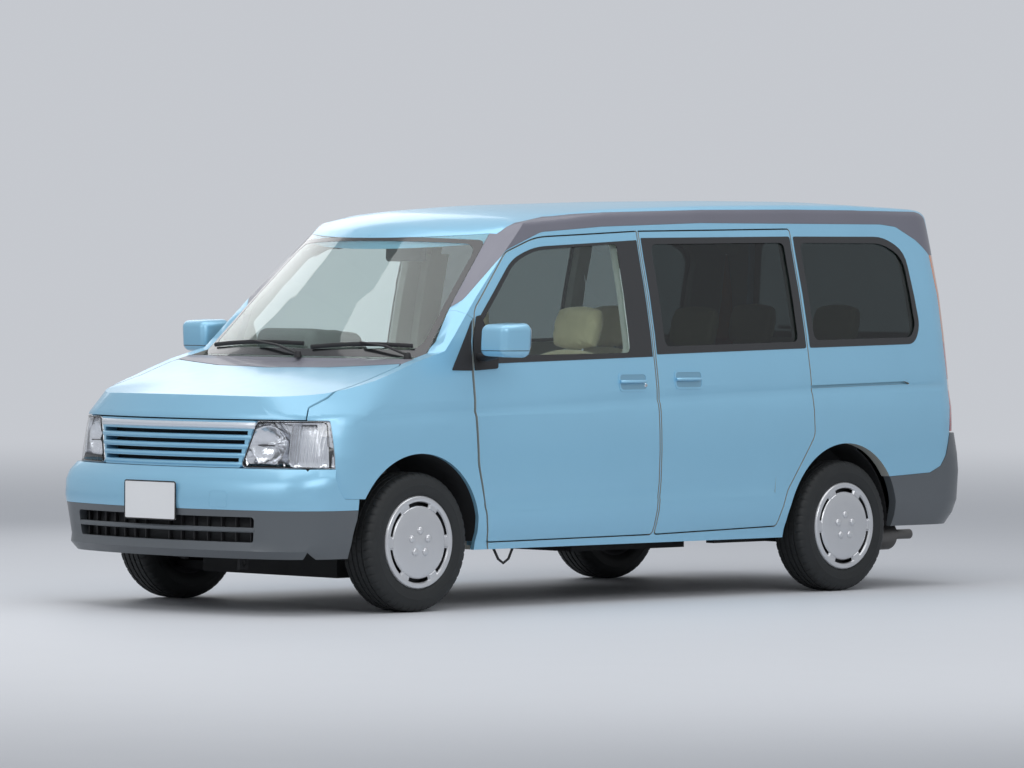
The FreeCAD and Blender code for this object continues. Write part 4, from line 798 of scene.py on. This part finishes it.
def lampInside(side, way):
    w = lampSizes
    tree = treeOf(["headlamp_" + side])
    cx, cz = w["bowlCentre"]
    front = rayBack(tree, way * cx, cz).y + w["bowlInset"]
    # the main bowl, with pressed flutes
    verts = []
    for r in range(w["bowlRings"] + 1):
        share = r / w["bowlRings"]
        radius = w["bowlRadius"] * (0.10 + 0.90 * share)
        for turn in turns(w["bowlSteps"]):
            stretch = 1.15 if math.cos(turn) > 0 else 1.0
            x = cx + radius * math.cos(turn) * stretch
            flute = w["fluteDepth"] * math.sin(turn * w["flutes"]) * share
            y = front + (x - cx) * 0.30 + w["bowlDepth"] * (1 - share ** 2) + flute
            verts.append(Vector((way * x, y, cz + radius * math.sin(turn) * 0.98)))
    faces = loftFaces(w["bowlRings"] + 1, w["bowlSteps"], firstCap=True)
    bowl = pieceFrom("lampBowl_" + side, verts, faces, lampChrome, "root", angle=0)
    walled(outward(bowl, (0, -1, 0)), 0.0015)
    spun("lampBulb_" + side, w["bulb"], (way * cx, front + 0.004, cz), "Y", brightMetal, "root")
    bar = [(way * (cx + x), front + y, cz - w["shadeDrop"]) for x, y in w["shadeBar"]]
    tubeAlong("lampShadeBar_" + side, bar, 0.0035, softBlack, "root", flat=0.8)
    # the corner lamp behind its ribbed diffuser
    for i in range(w["ribs"]):
        x = way * (w["divide"] + w["ribStart"] + i * w["ribStep"])
        if rayBack(tree, x, 0.74) is None:
            continue
        path = [(x, rayBack(tree, x, z).y + w["ribDepth"], z) for z in w["ribHeights"]]
        tubeAlong(f"cornerLampRib_{side}_{i}", path, 0.0042, lampGlass, "root", sidesRound=8)
    x = way * w["divide"]
    verts = [(x, rayBack(tree, x, z).y + deep, z) for z in w["divideHeights"] for deep in w["divideDepths"]]
    faces = [(2 * i, 2 * i + 1, 2 * i + 3, 2 * i + 2) for i in range(len(w["divideHeights"]) - 1)]
    walled(pieceFrom("lampDivider_" + side, verts, faces, lampChrome, "root"), 0.004)


def lampRim(side, way):
    # dark rubber edge round the lamp
    tree = treeOf(["headlamp_" + side])
    lean = Vector((way * 0.3, -0.7, 0)).normalized()

    def place(point, lift):
        hit = rayBack(tree, way * point[0], point[1])
        if hit is None or hit.y > -1.99:
            hit = tree.find_nearest(Vector((way * point[0], -2.02, point[1])))[0]
        return hit + lean * lift
    surfaceBand("lampRim_" + side, lampSizes["rimOuter"], lampSizes["rimInner"], place, frameBlack, "root",
                (way * 0.3, -1, 0), lift=0.0012, thickness=0.003, perEdge=16, across=1)


for side, way in sides:
    makeHeadlamp(side, way)
    lampInside(side, way)
for side, way in sides:
    lampRim(side, way)
print("lamps made")


intake = {
    "tip": -2.326, "crown": 2.100, "height": 0.372, "steps": 40, "barHalf": 0.572, "barBack": 0.006,
    # height and depth of the bar's section
    "section": [(-0.011, 0.022), (-0.011, 0.004), (-0.006, -0.001), (0.004, -0.001), (0.010, 0.004),
                (0.010, 0.022)],
    "ribs": 7, "ribStep": 0.076, "ribHalf": 0.003, "ribDepths": (0.034, 0.054), "ribHeights": (0.318, 0.428),
    "backHalf": 0.585, "backDepth": 0.056, "backHeights": (0.306, 0.440),
}


def makeIntake():
    # the lower intake: one bar across it, upright ribs and a dark screen behind
    g = intake

    def bumperY(x):
        return g["tip"] + g["crown"] - math.sqrt(g["crown"] ** 2 - x * x)
    verts = [(x, bumperY(x) + g["barBack"] + back, g["height"] + z)
             for x in spreadOut(g["barHalf"], g["steps"]) for z, back in g["section"]]
    faces = loftFaces(g["steps"] + 1, len(g["section"]), True, True)
    outward(pieceFrom("intakeBar", verts, faces, bumperGray, "root"))
    for i in range(-g["ribs"], g["ribs"] + 1):
        if i == 0:
            continue
        x = i * g["ribStep"]
        low, high = ((x + end * g["ribHalf"], bumperY(x) + deep, z)
                     for end, deep, z in zip((-1, 1), g["ribDepths"], g["ribHeights"]))
        roundedBox(f"intakeRib_{i + g['ribs']}", low, high, softBlack, "root", 0.001, 2)
    back = [(x, bumperY(x) + g["backDepth"], z)
            for x in spreadOut(g["backHalf"], g["steps"]) for z in g["backHeights"]]
    faces = [(2 * i, 2 * i + 2, 2 * i + 3, 2 * i + 1) for i in range(g["steps"])]
    walled(outward(pieceFrom("intakeBack", back, faces, underBlack, "root"), (0, -1, 0)), 0.002, first=False)


noseNodes = ["hood", "grille", "front_bumper", "front_bumper_lower", "headlamp_left", "headlamp_right",
             "fender_left", "fender_right"]


def makePlate():
    low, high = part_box("front_plate")
    rim = rectangle((low.x - 0.001, low.z - 0.001), (high.x + 0.001, high.z + 0.001), 0.010)
    path = [(u, low.y + 0.001, v) for u, v in roundedLoop(rim, 10)]
    tubeAlong("plateRim", path, 0.0032, softBlack, "root", sidesRound=8, closed=True)
    # the seam of the cover over the towing eye
    ontoNose = projector(noseNodes, -3.5, 1)
    path = [ontoNose(p, 0.0001) for p in roundedLoop(rectangle((0.355, 0.470), (0.445, 0.540), 0.012))]
    tubeAlong("towCoverSeam", path, 0.0012, sidePaint, "root", sidesRound=6, closed=True)


makeIntake()
makePlate()


# wipers

wiperSizes = {
    "blades": {"long": ((-0.640, 1.150), (0.060, 1.165)), "short": ((0.120, 1.150), (0.640, 1.160))},
    "steps": 16, "bow": 0.010, "lift": 0.012,
    # share of the blade's length, rise above its start, lift off the screen
    "arm": [(0.52, 0.015, 0.024), (0.80, -0.006, 0.032), (1.02, -0.034, 0.018)],
    "pivot": [(0.001, 0.012), (0.012, 0.011), (0.015, 0.004), (0.017, -0.018), (0.001, -0.018)],
}


def makeWipers():
    w = wiperSizes
    ontoScreen = projector(["windscreen", "cowl"], -3.0, 1)
    for key, (start, end) in w["blades"].items():
        length, rise = end[0] - start[0], end[1] - start[1]
        blade = []
        for i in range(w["steps"] + 1):
            t = i / w["steps"]
            spot = (start[0] + length * t, start[1] + rise * t + w["bow"] * math.sin(math.pi * t))
            blade.append(ontoScreen(spot, w["lift"]))
        tubeAlong("wiperBlade_" + key, blade, 0.0055, softBlack, "root", flat=1.8)
        arm = [ontoScreen((start[0] + share * length, start[1] + up), lift) for share, up, lift in w["arm"]]
        tubeAlong("wiperArm_" + key, arm, 0.0080, softBlack, "root", flat=0.7)
        spun("wiperPivot_" + key, w["pivot"], arm[-1], "Z", softBlack, "root")


makeWipers()


# tailgate: release handle, wiper and high stop lamp

tailDetail = {
    "recess": ((-0.165, 0.900), (0.165, 0.966), 0.020), "lamp": ((-0.150, 1.728), (0.150, 1.750), 0.006),
    "handle": ((-0.145, 0.948), (0.145, 0.948)), "blade": ((-0.430, 1.232), (0.010, 1.222)),
    "pivot": (0.070, 1.196), "pivotLift": 0.016,
    # share of the blade's length, lift off the pane
    "arm": [(0.8, 0.026), (0.5, 0.020)],
    "pivotShape": [(0.001, 0.022), (0.016, 0.020), (0.020, 0.010), (0.022, -0.004), (0.001, -0.004)],
}


def makeTailDetail():
    onTail = projector(tailNodes, 3.0, -1)
    d = tailDetail

    def line(start, end, lift=0.010, count=12):
        spots = [Vector(start).lerp(Vector(end), k / count) for k in range(count + 1)]
        return [onTail(spot, lift) for spot in spots]
    surfaceBand("tailHandleRecess", rectangle(*d["recess"]), None, onTail, frameBlack, "tailgate", (0, 1, 0),
                lift=0.001, thickness=0.002)
    tubeAlong("tailHandle", line(*d["handle"]), 0.011, paint, "tailgate", sidesRound=14, flat=0.8)
    tubeAlong("tailWiperBlade", line(*d["blade"]), 0.0055, softBlack, "tailgate", flat=1.8)
    start, end = (Vector(p) for p in d["blade"])
    arm = [onTail(d["pivot"], d["pivotLift"])]
    arm += [onTail(start.lerp(end, share), lift) for share, lift in d["arm"]]
    tubeAlong("tailWiperArm", arm, 0.0075, softBlack, "tailgate", flat=0.7)
    spun("tailWiperPivot", d["pivotShape"], onTail(d["pivot"], 0.0), "Y", softBlack, "tailgate")
    surfaceBand("highStopLamp", rectangle(*d["lamp"]), None, onTail, stopLens, "tailgate", (0, 1, 0),
                lift=0.004, thickness=0.006)


makeTailDetail()
print("tail details made")


# mirrors

mirrorSizes = {
    "low": (0.892, -1.203, 1.119), "high": (1.074, -1.030, 1.272), "bevel": 0.034,
    "seamHeight": 1.150, "seamSteps": 48,
    "glass": [(0.910, 1.150, 0.022), (1.056, 1.150, 0.022), (1.062, 1.254, 0.022), (0.916, 1.254, 0.022)],
    "arm": [(0.800, -1.090, 1.118), (0.850, -1.098, 1.120), (0.905, -1.108, 1.128), (0.935, -1.112, 1.140)],
    "doorCorner": [(-1.130, 1.060, 0.006), (-1.117, 1.190, 0.004), (-1.075, 1.300, 0.006),
                   (-1.046, 1.306, 0.006), (-0.975, 1.110, 0.006), (-0.985, 1.068, 0.010)],
    "fixedCorner": [(-1.272, 1.062, 0.012), (-1.105, 1.285, 0.004), (-1.130, 1.190, 0.004),
                    (-1.146, 1.060, 0.004)],
}


def makeMirror(side, way):
    door = "door_front_" + side
    w = mirrorSizes
    low, high = Vector(w["low"]), Vector(w["high"])
    centre = (low + high) / 2
    made = bevelledCube(high - low, w["bevel"], 6)
    for v in made.verts:
        # the back of the head is deeper at its foot and narrows forward
        forward = 0.5 - v.co.y / (high.y - low.y)
        v.co.z *= 1.0 - 0.16 * max(0.0, forward - 0.35)
        v.co.x *= 1.0 - 0.18 * max(0.0, forward - 0.30)
        v.co.x += 0.010 * (v.co.z / (high.z - low.z))
    bmesh.ops.translate(made, verts=made.verts, vec=centre)
    for v in made.verts:
        v.co.x *= way
    bmesh.ops.recalc_face_normals(made, faces=made.faces)
    headTree = BVHTree.FromBMesh(made)
    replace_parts(pieceOf(made, "mirrorHead_" + side, paint, door), "mirror_" + side)
    middle = Vector((way * centre.x, centre.y, w["seamHeight"]))
    seam = [headTree.ray_cast(middle, Vector((math.cos(turn), math.sin(turn), 0)))[0]
            for turn in turns(w["seamSteps"])]
    tubeAlong("mirrorSeam_" + side, seam, 0.0018, frameBlack, door, sidesRound=6, closed=True)

    def onBack(point, lift):
        return Vector((way * point[0], high.y + lift, point[1]))
    surfaceBand("mirrorGlass_" + side, w["glass"], None, onBack, mirrorGlass, door, (0, 1, 0),
                lift=0.0012, thickness=0.002)
    # black foot and the corner panels it stands on
    arm = [(way * x, y, z) for x, y, z in w["arm"]]
    tubeAlong("mirrorArm_" + side, arm, 0.026, softBlack, door, sidesRound=16, flat=0.75)
    corners = (("Corner_", "doorCorner", door), ("CornerFront_", "fixedCorner", "root"))
    for label, key, body in corners:
        surfaceBand("mirror" + label + side, w[key], None, sidePlace(way), softBlack, body, (way, 0, 0),
                    lift=0.004, thickness=0.006)


for side, way in sides:
    makeMirror(side, way)
print("mirrors made")


# door handles

handleSizes = {
    "front": (-0.128, 1.000), "rear": (0.242, 1.008), "half": (0.094, 0.044), "rim": 0.010, "corner": 0.026,
    "cupCorner": 0.018, "bar": 0.011, "barSteps": 12,
    "key": [(0.001, 0.003), (0.007, 0.003), (0.009, 0.0), (0.009, -0.004)],
}


def makeHandle(key, side, way, body):
    w = handleSizes
    (y0, z0), (halfY, halfZ) = w[key], w["half"]

    def loop(inset, radius):
        y, z = halfY - inset, halfZ - inset
        return rectangle((y0 - y, z0 - z), (y0 + y, z0 + z), radius)
    outer, inner = loop(0.0, w["corner"]), loop(w["rim"], w["cupCorner"])
    surfaceBand(f"handleRim_{key}_{side}", outer, inner, sidePlace(way), paint, body, (way, 0, 0),
                lift=0.0022, thickness=0.004, across=3)
    # the cup is a flat patch on the side in painted shade, a darker copy of the paint standing in for the
    # hollow's shadow
    surfaceBand(f"handleCup_{key}_{side}", inner, None, sidePlace(way), cupPaintedShade, body, (way, 0, 0),
                lift=0.0006, thickness=0.003, across=5)
    path = []
    for i in range(w["barSteps"] + 1):
        t = i / w["barSteps"]
        y = y0 - halfY + 0.006 + (2 * halfY - 0.030) * t
        path.append(onSide((y, z0 + 0.002), 0.006 + 0.012 * math.sin(math.pi * t) ** 0.5, way))
    tubeAlong(f"handleBar_{key}_{side}", path, w["bar"], paint, body, sidesRound=14, flat=0.7)
    if key == "front":
        spot = onSide((y0 + halfY - 0.016, z0 - 0.016), 0.004, way)
        shape = [(radius, way * out) for radius, out in w["key"]]
        spun(f"keyCylinder_{side}", shape, spot, "X", brightMetal, body)


for side, way in sides:
    makeHandle("front", side, way, "door_front_" + side)
makeHandle("rear", "left", 1, "root")
print("handles made")


# seats: padded cushions, backs and headrests over hard shells

seatSizes = {
    "wide": 0.500, "deep": 0.502, "thick": 0.150, "backHigh": 0.560, "backThick": 0.135, "headWide": 0.270,
    "headHigh": 0.195, "headThick": 0.092, "headBack": 0.083, "headGap": 0.016,
    "cushionTop": 0.541825, "backFoot": (0.85, 0.6064),
    "shellLow": 0.3605, "shellHalf": 0.200, "shellDeep": (0.050, 0.452),
    # row, side offset, front edge, lean in degrees, stretch, node
    "rows": [("front", 0.3729, -0.7005, 14, 1.0, "front_seats"),
             ("middle", 0.2750, 0.1868, 14, 1.08, "middle_seat"),
             ("rear", 0.2750, 1.2142, 12, 1.08, "rear_seat")],
    "postHalf": 0.055, "postSpan": (-0.02, 0.015, 0.05), "postRadius": 0.006,
}


def padMesh(name, size, crown, pinch):
    # a crowned closed form with sides that pull in between its corners
    def pulled(own, others, squeeze, swell):
        return own * (1 - squeeze * others ** 1.5 * 0.5) + math.copysign(swell, own) * abs(own) ** 4
    made = bmesh.new()
    bmesh.ops.create_cube(made, size=1.0)
    bmesh.ops.subdivide_edges(made, edges=made.edges[:], cuts=9, use_grid_fill=True)
    for v in made.verts:
        u, w, t = v.co.x * 2, v.co.y * 2, v.co.z * 2
        bulgeX, bulgeY, bulgeZ = (1 - u * u), (1 - w * w), (1 - t * t)
        x = pulled(u, w * w + t * t, 0.10, pinch * bulgeY * bulgeZ)
        y = pulled(w, u * u + t * t, 0.10, pinch * bulgeX * bulgeZ)
        z = pulled(t, u * u + w * w, 0.14, crown * bulgeX * bulgeY)
        v.co = Vector((x * size[0] / 2, y * size[1] / 2, z * size[2] / 2))
    bmesh.ops.recalc_face_normals(made, faces=made.faces)
    mesh = bpy.data.meshes.new(name)
    made.to_mesh(mesh)
    made.free()
    return mesh


def puffed(name, size, voxel, cap):
    # the pad is inflated as cloth, and no point moves further than the cap
    mesh = padMesh(name, [s - 2 * cap * 0.6 for s in size], 0.10, 0.05)
    pad = linked(name, mesh)
    pad.data.remesh_voxel_size = voxel
    bpy.context.view_layer.objects.active = pad
    pad.select_set(True)
    bpy.ops.object.voxel_remesh()
    before = [v.co.copy() for v in pad.data.vertices]
    cloth = pad.modifiers.new("cloth", "CLOTH")
    cloth.settings.use_pressure = True
    cloth.settings.uniform_pressure_force = 4.0
    cloth.settings.effector_weights.gravity = 0.0
    cloth.settings.quality = 4
    cloth.settings.tension_stiffness = 20
    scene = bpy.context.scene
    for step in range(1, 21):
        scene.frame_set(step)
    graph = bpy.context.evaluated_depsgraph_get()
    after = [v.co.copy() for v in pad.evaluated_get(graph).data.vertices]
    pad.modifiers.remove(cloth)
    for v, a, b in zip(pad.data.vertices, before, after):
        move = b - a
        if move.length > cap:
            move *= cap / move.length
        v.co = a + move
    scene.frame_set(1)
    pad.select_set(False)
    return pad


def makeSeat(masters, name, x, y, lean, stretch, node):
    w = seatSizes
    deepShare, footHeight = w["backFoot"]
    foot = Matrix.Translation((x, y + deepShare * w["deep"], footHeight))
    foot = foot @ Matrix.Rotation(math.radians(-lean), 4, "X")
    widen = Matrix.Diagonal((stretch, 1.0, 1.0, 1.0))
    headMiddle = w["backHigh"] + w["headGap"] + w["headHigh"] / 2
    spots = {
        "cushion": Matrix.Translation((x, y + w["deep"] / 2, w["cushionTop"] + w["thick"] / 2)) @ widen,
        "back": foot @ Matrix.Translation((0, w["backThick"] / 2, w["backHigh"] / 2)) @ widen,
        "head": foot @ Matrix.Translation((0, w["headBack"], headMiddle)),
    }
    for key, spot in spots.items():
        mesh = masters[key].data.copy()
        mesh.transform(spot)
        pad = riding(f"{key}Pad_{name}", mesh, seatCloth, "root")
        smooth = pad.modifiers.new("smooth", "SUBSURF")
        smooth.levels = smooth.render_levels = 1
        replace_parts(pad, node)
    half, (front, back) = w["shellHalf"] * stretch, w["shellDeep"]
    low, high = (x - half, y + front, w["shellLow"]), (x + half, y + back, w["cushionTop"] + 0.010)
    roundedBox("seatBase_" + name, low, high, seatShell, "root", 0.012, 3)
    for label, end in (("a", -1), ("b", 1)):
        spots = [(end * w["postHalf"], w["headBack"], w["backHigh"] + up) for up in w["postSpan"]]
        post = [foot @ Vector(spot) for spot in spots]
        tubeAlong(f"headPost_{name}_{label}", post, w["postRadius"], brightMetal, "root")


def makeSeats():
    w = seatSizes
    masters = {
        "cushion": puffed("masterCushion", (w["wide"], w["deep"], w["thick"]), 0.012, 0.014),
        "back": puffed("masterBack", (w["wide"], w["backThick"], w["backHigh"]), 0.012, 0.012),
        "head": puffed("masterHead", (w["headWide"], w["headThick"], w["headHigh"]), 0.008, 0.010),
    }
    for row, offset, *rest in w["rows"]:
        makeSeat(masters, row + "Left", offset, *rest)
        makeSeat(masters, row + "Right", -offset, *rest)
    for master in masters.values():
        bpy.data.objects.remove(master)


makeSeats()
print("seats made")


# dashboard hump, steering wheel and the mirror on the windscreen

cabin = {
    "hood": ((-0.570, -1.200, 1.075), (-0.180, -0.852, 1.226)), "hoodTurn": -4,
    "wheelSpot": (-0.370, -0.7822, 1.0609), "wheelTurn": -55,
    "ring": 0.185, "ringSteps": 72, "ringThick": 0.0145,
    "hub": (0.150, 0.120, 0.050), "hubBevel": 0.020, "hubSpot": (0, -0.010, 0.002),
    "spokes": (0, 180, 250, 290), "spokeReach": 0.180, "spokeShares": (0.25, 0.70, 1.0), "spokeThick": 0.013,
    "mirror": ((-0.125, -0.790, 1.542), (0.125, -0.760, 1.612)),
    "mirrorStem": [(0, -0.775, 1.600), (0, -0.790, 1.660), (0, -0.800, 1.705)],
    "tieLoop": [(0.745, -0.945, 0.262), (0.755, -0.925, 0.215), (0.762, -0.900, 0.196),
                (0.765, -0.870, 0.215), (0.765, -0.845, 0.262)],
}


def makeCabinDetail():
    c = cabin
    turn = Matrix.Rotation(math.radians(c["hoodTurn"]), 4, "X")
    roundedBox("instrumentHood", *c["hood"], dashPlastic, "root", 0.050, 6, turn)
    place = Matrix.Translation(c["wheelSpot"]) @ Matrix.Rotation(math.radians(c["wheelTurn"]), 4, "X")

    def onWheel(radius, angle):
        return place @ Vector((radius * math.cos(angle), radius * math.sin(angle), 0))
    ring = [onWheel(c["ring"], angle) for angle in turns(c["ringSteps"])]
    rim = tubeAlong("steeringRim", ring, c["ringThick"], wheelLeather, "steering_wheel", sidesRound=14,
                    closed=True)
    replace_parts(rim, "steering_wheel")
    hub = bevelledCube(c["hub"], c["hubBevel"], 5)
    bmesh.ops.transform(hub, matrix=place @ Matrix.Translation(c["hubSpot"]), verts=hub.verts)
    pieceOf(hub, "steeringHub", wheelLeather, "steering_wheel")
    for i, angle in enumerate(c["spokes"]):
        spoke = [onWheel(c["spokeReach"] * share, math.radians(angle)) for share in c["spokeShares"]]
        tubeAlong(f"steeringSpoke_{i}", spoke, c["spokeThick"], wheelLeather, "steering_wheel", flat=0.7)
    roundedBox("innerMirror", *c["mirror"], dashPlastic, "root", 0.014, 5)
    tubeAlong("innerMirrorStem", c["mirrorStem"], 0.009, dashPlastic, "root")
    tubeAlong("tieLoop", c["tieLoop"], 0.006, underBlack, "root")


makeCabinDetail()
print("cabin made")


# the studio

def seenDirectly(tree):
    # 1 for rays that come straight from the camera or through glass
    path = addNode(tree, "ShaderNodeLightPath")
    total = addNode(tree, "ShaderNodeMath", operation="ADD", use_clamp=True)
    wire(tree, path, "Is Camera Ray", total, 0)
    wire(tree, path, "Is Transmission Ray", total, 1)
    return total


def floorFinish(near, far, start, end):
    # the floor turns into the backdrop's tone with distance, so that no edge shows between them
    mat = finish("studioFloorPale", near, 0.6, spread=0.01, broad=0.5, bump=0.0)
    tree = mat.node_tree
    distance = addNode(tree, "ShaderNodeVectorMath", operation="LENGTH")
    wire(tree, addNode(tree, "ShaderNodeTexCoord"), "Object", distance, 0)
    fade = rangeNode(tree, distance, "Value", 0.0, 1.0)
    fade.interpolation_type = "SMOOTHSTEP"
    setSockets(fade, {"From Min": start, "From Max": end})
    share = addNode(tree, "ShaderNodeMath", operation="MULTIPLY")
    wire(tree, fade, "Result", share, 0)
    wire(tree, seenDirectly(tree), "Value", share, 1)
    plain = addNode(tree, "ShaderNodeEmission", {"Color": (*far, 1)})
    mixSurface(tree, share, "Value", tree.nodes["Principled BSDF"], plain, "Material Output")
    return mat


studio = {
    "backdrop": (0.56, 0.58, 0.62), "floor": (0.60, 0.615, 0.645), "reach": 300.0, "fade": (7.0, 26.0),
    "ambient": (0.80, 0.83, 0.88), "strength": 0.62,
    # name, place, aim, width, height, power
    "lamps": [
        ("overhead", (0.8, -0.6, 5.4), (0, 0, 0.8), 8.0, 4.6, 175.0),
        ("keySide", (7.0, -4.0, 4.6), (0, -0.3, 0.9), 5.0, 3.2, 140.0),
        ("noseSide", (0.5, -8.0, 4.2), (0, -1.5, 0.8), 4.5, 2.5, 75.0),
        ("farSide", (-6.0, 2.0, 4.0), (0, 0, 0.8), 5.0, 3.0, 60.0),
    ],
}


def aimed(name, data, spot, turn):
    holder = linked(name, data)
    holder.location = spot
    holder.rotation_mode = "QUATERNION"
    holder.rotation_quaternion = turn
    return holder


def makeStudio():
    scene = bpy.context.scene
    scene.view_settings.view_transform = "Standard"
    reach = studio["reach"]
    mesh = bpy.data.meshes.new("studioFloor")
    corners = rectangle((-reach, -reach), (reach, reach), 0)
    mesh.from_pydata(corners, [], [(0, 1, 2, 3)])
    mesh.materials.append(floorFinish(studio["floor"], studio["backdrop"], *studio["fade"]))
    linked("studioFloor", mesh)
    world = bpy.data.worlds.new("studioLight")
    scene.world = world
    world.use_nodes = True
    tree = world.node_tree
    ambient = tree.nodes["Background"]
    setSockets(ambient, {"Color": (*studio["ambient"], 1), "Strength": studio["strength"]})
    backdrop = addNode(tree, "ShaderNodeBackground", {"Color": (*studio["backdrop"], 1)})
    mixSurface(tree, seenDirectly(tree), "Value", ambient, backdrop, "World Output")
    for name, spot, target, wide, high, power in studio["lamps"]:
        lamp = bpy.data.lights.new(name, "AREA")
        lamp.shape = "RECTANGLE"
        lamp.size, lamp.size_y = wide, high
        lamp.energy = power
        aimed(name, lamp, spot, (Vector(target) - Vector(spot)).to_track_quat("-Z", "Y"))


# degrees and millimetres; the roll turns the picture
photoCamera = {
    "spot": (19.647, -19.825, 1.4895), "azimuth": 44.864, "down": 1.055, "roll": 0.298, "lens": 210.36,
}


def makeCamera():
    c = photoCamera
    turn, dip, roll = (math.radians(c[k]) for k in ("azimuth", "down", "roll"))
    back = Vector((math.sin(turn) * math.cos(dip), -math.cos(turn) * math.cos(dip), math.sin(dip)))
    right = (-back).cross(Vector((0, 0, 1))).normalized()
    up = right.cross(-back)
    tilted = right * math.cos(roll) + up * math.sin(roll)
    upright = up * math.cos(roll) - right * math.sin(roll)
    data = bpy.data.cameras.new("photoCamera")
    data.sensor_width = 36.0
    data.lens = c["lens"]
    data.clip_start, data.clip_end = 0.5, 400.0
    facing = Matrix((tilted, upright, back)).transposed().to_quaternion()
    bpy.context.scene.camera = aimed("photoCamera", data, c["spot"], facing)


makeStudio()
makeCamera()
print("studio made")
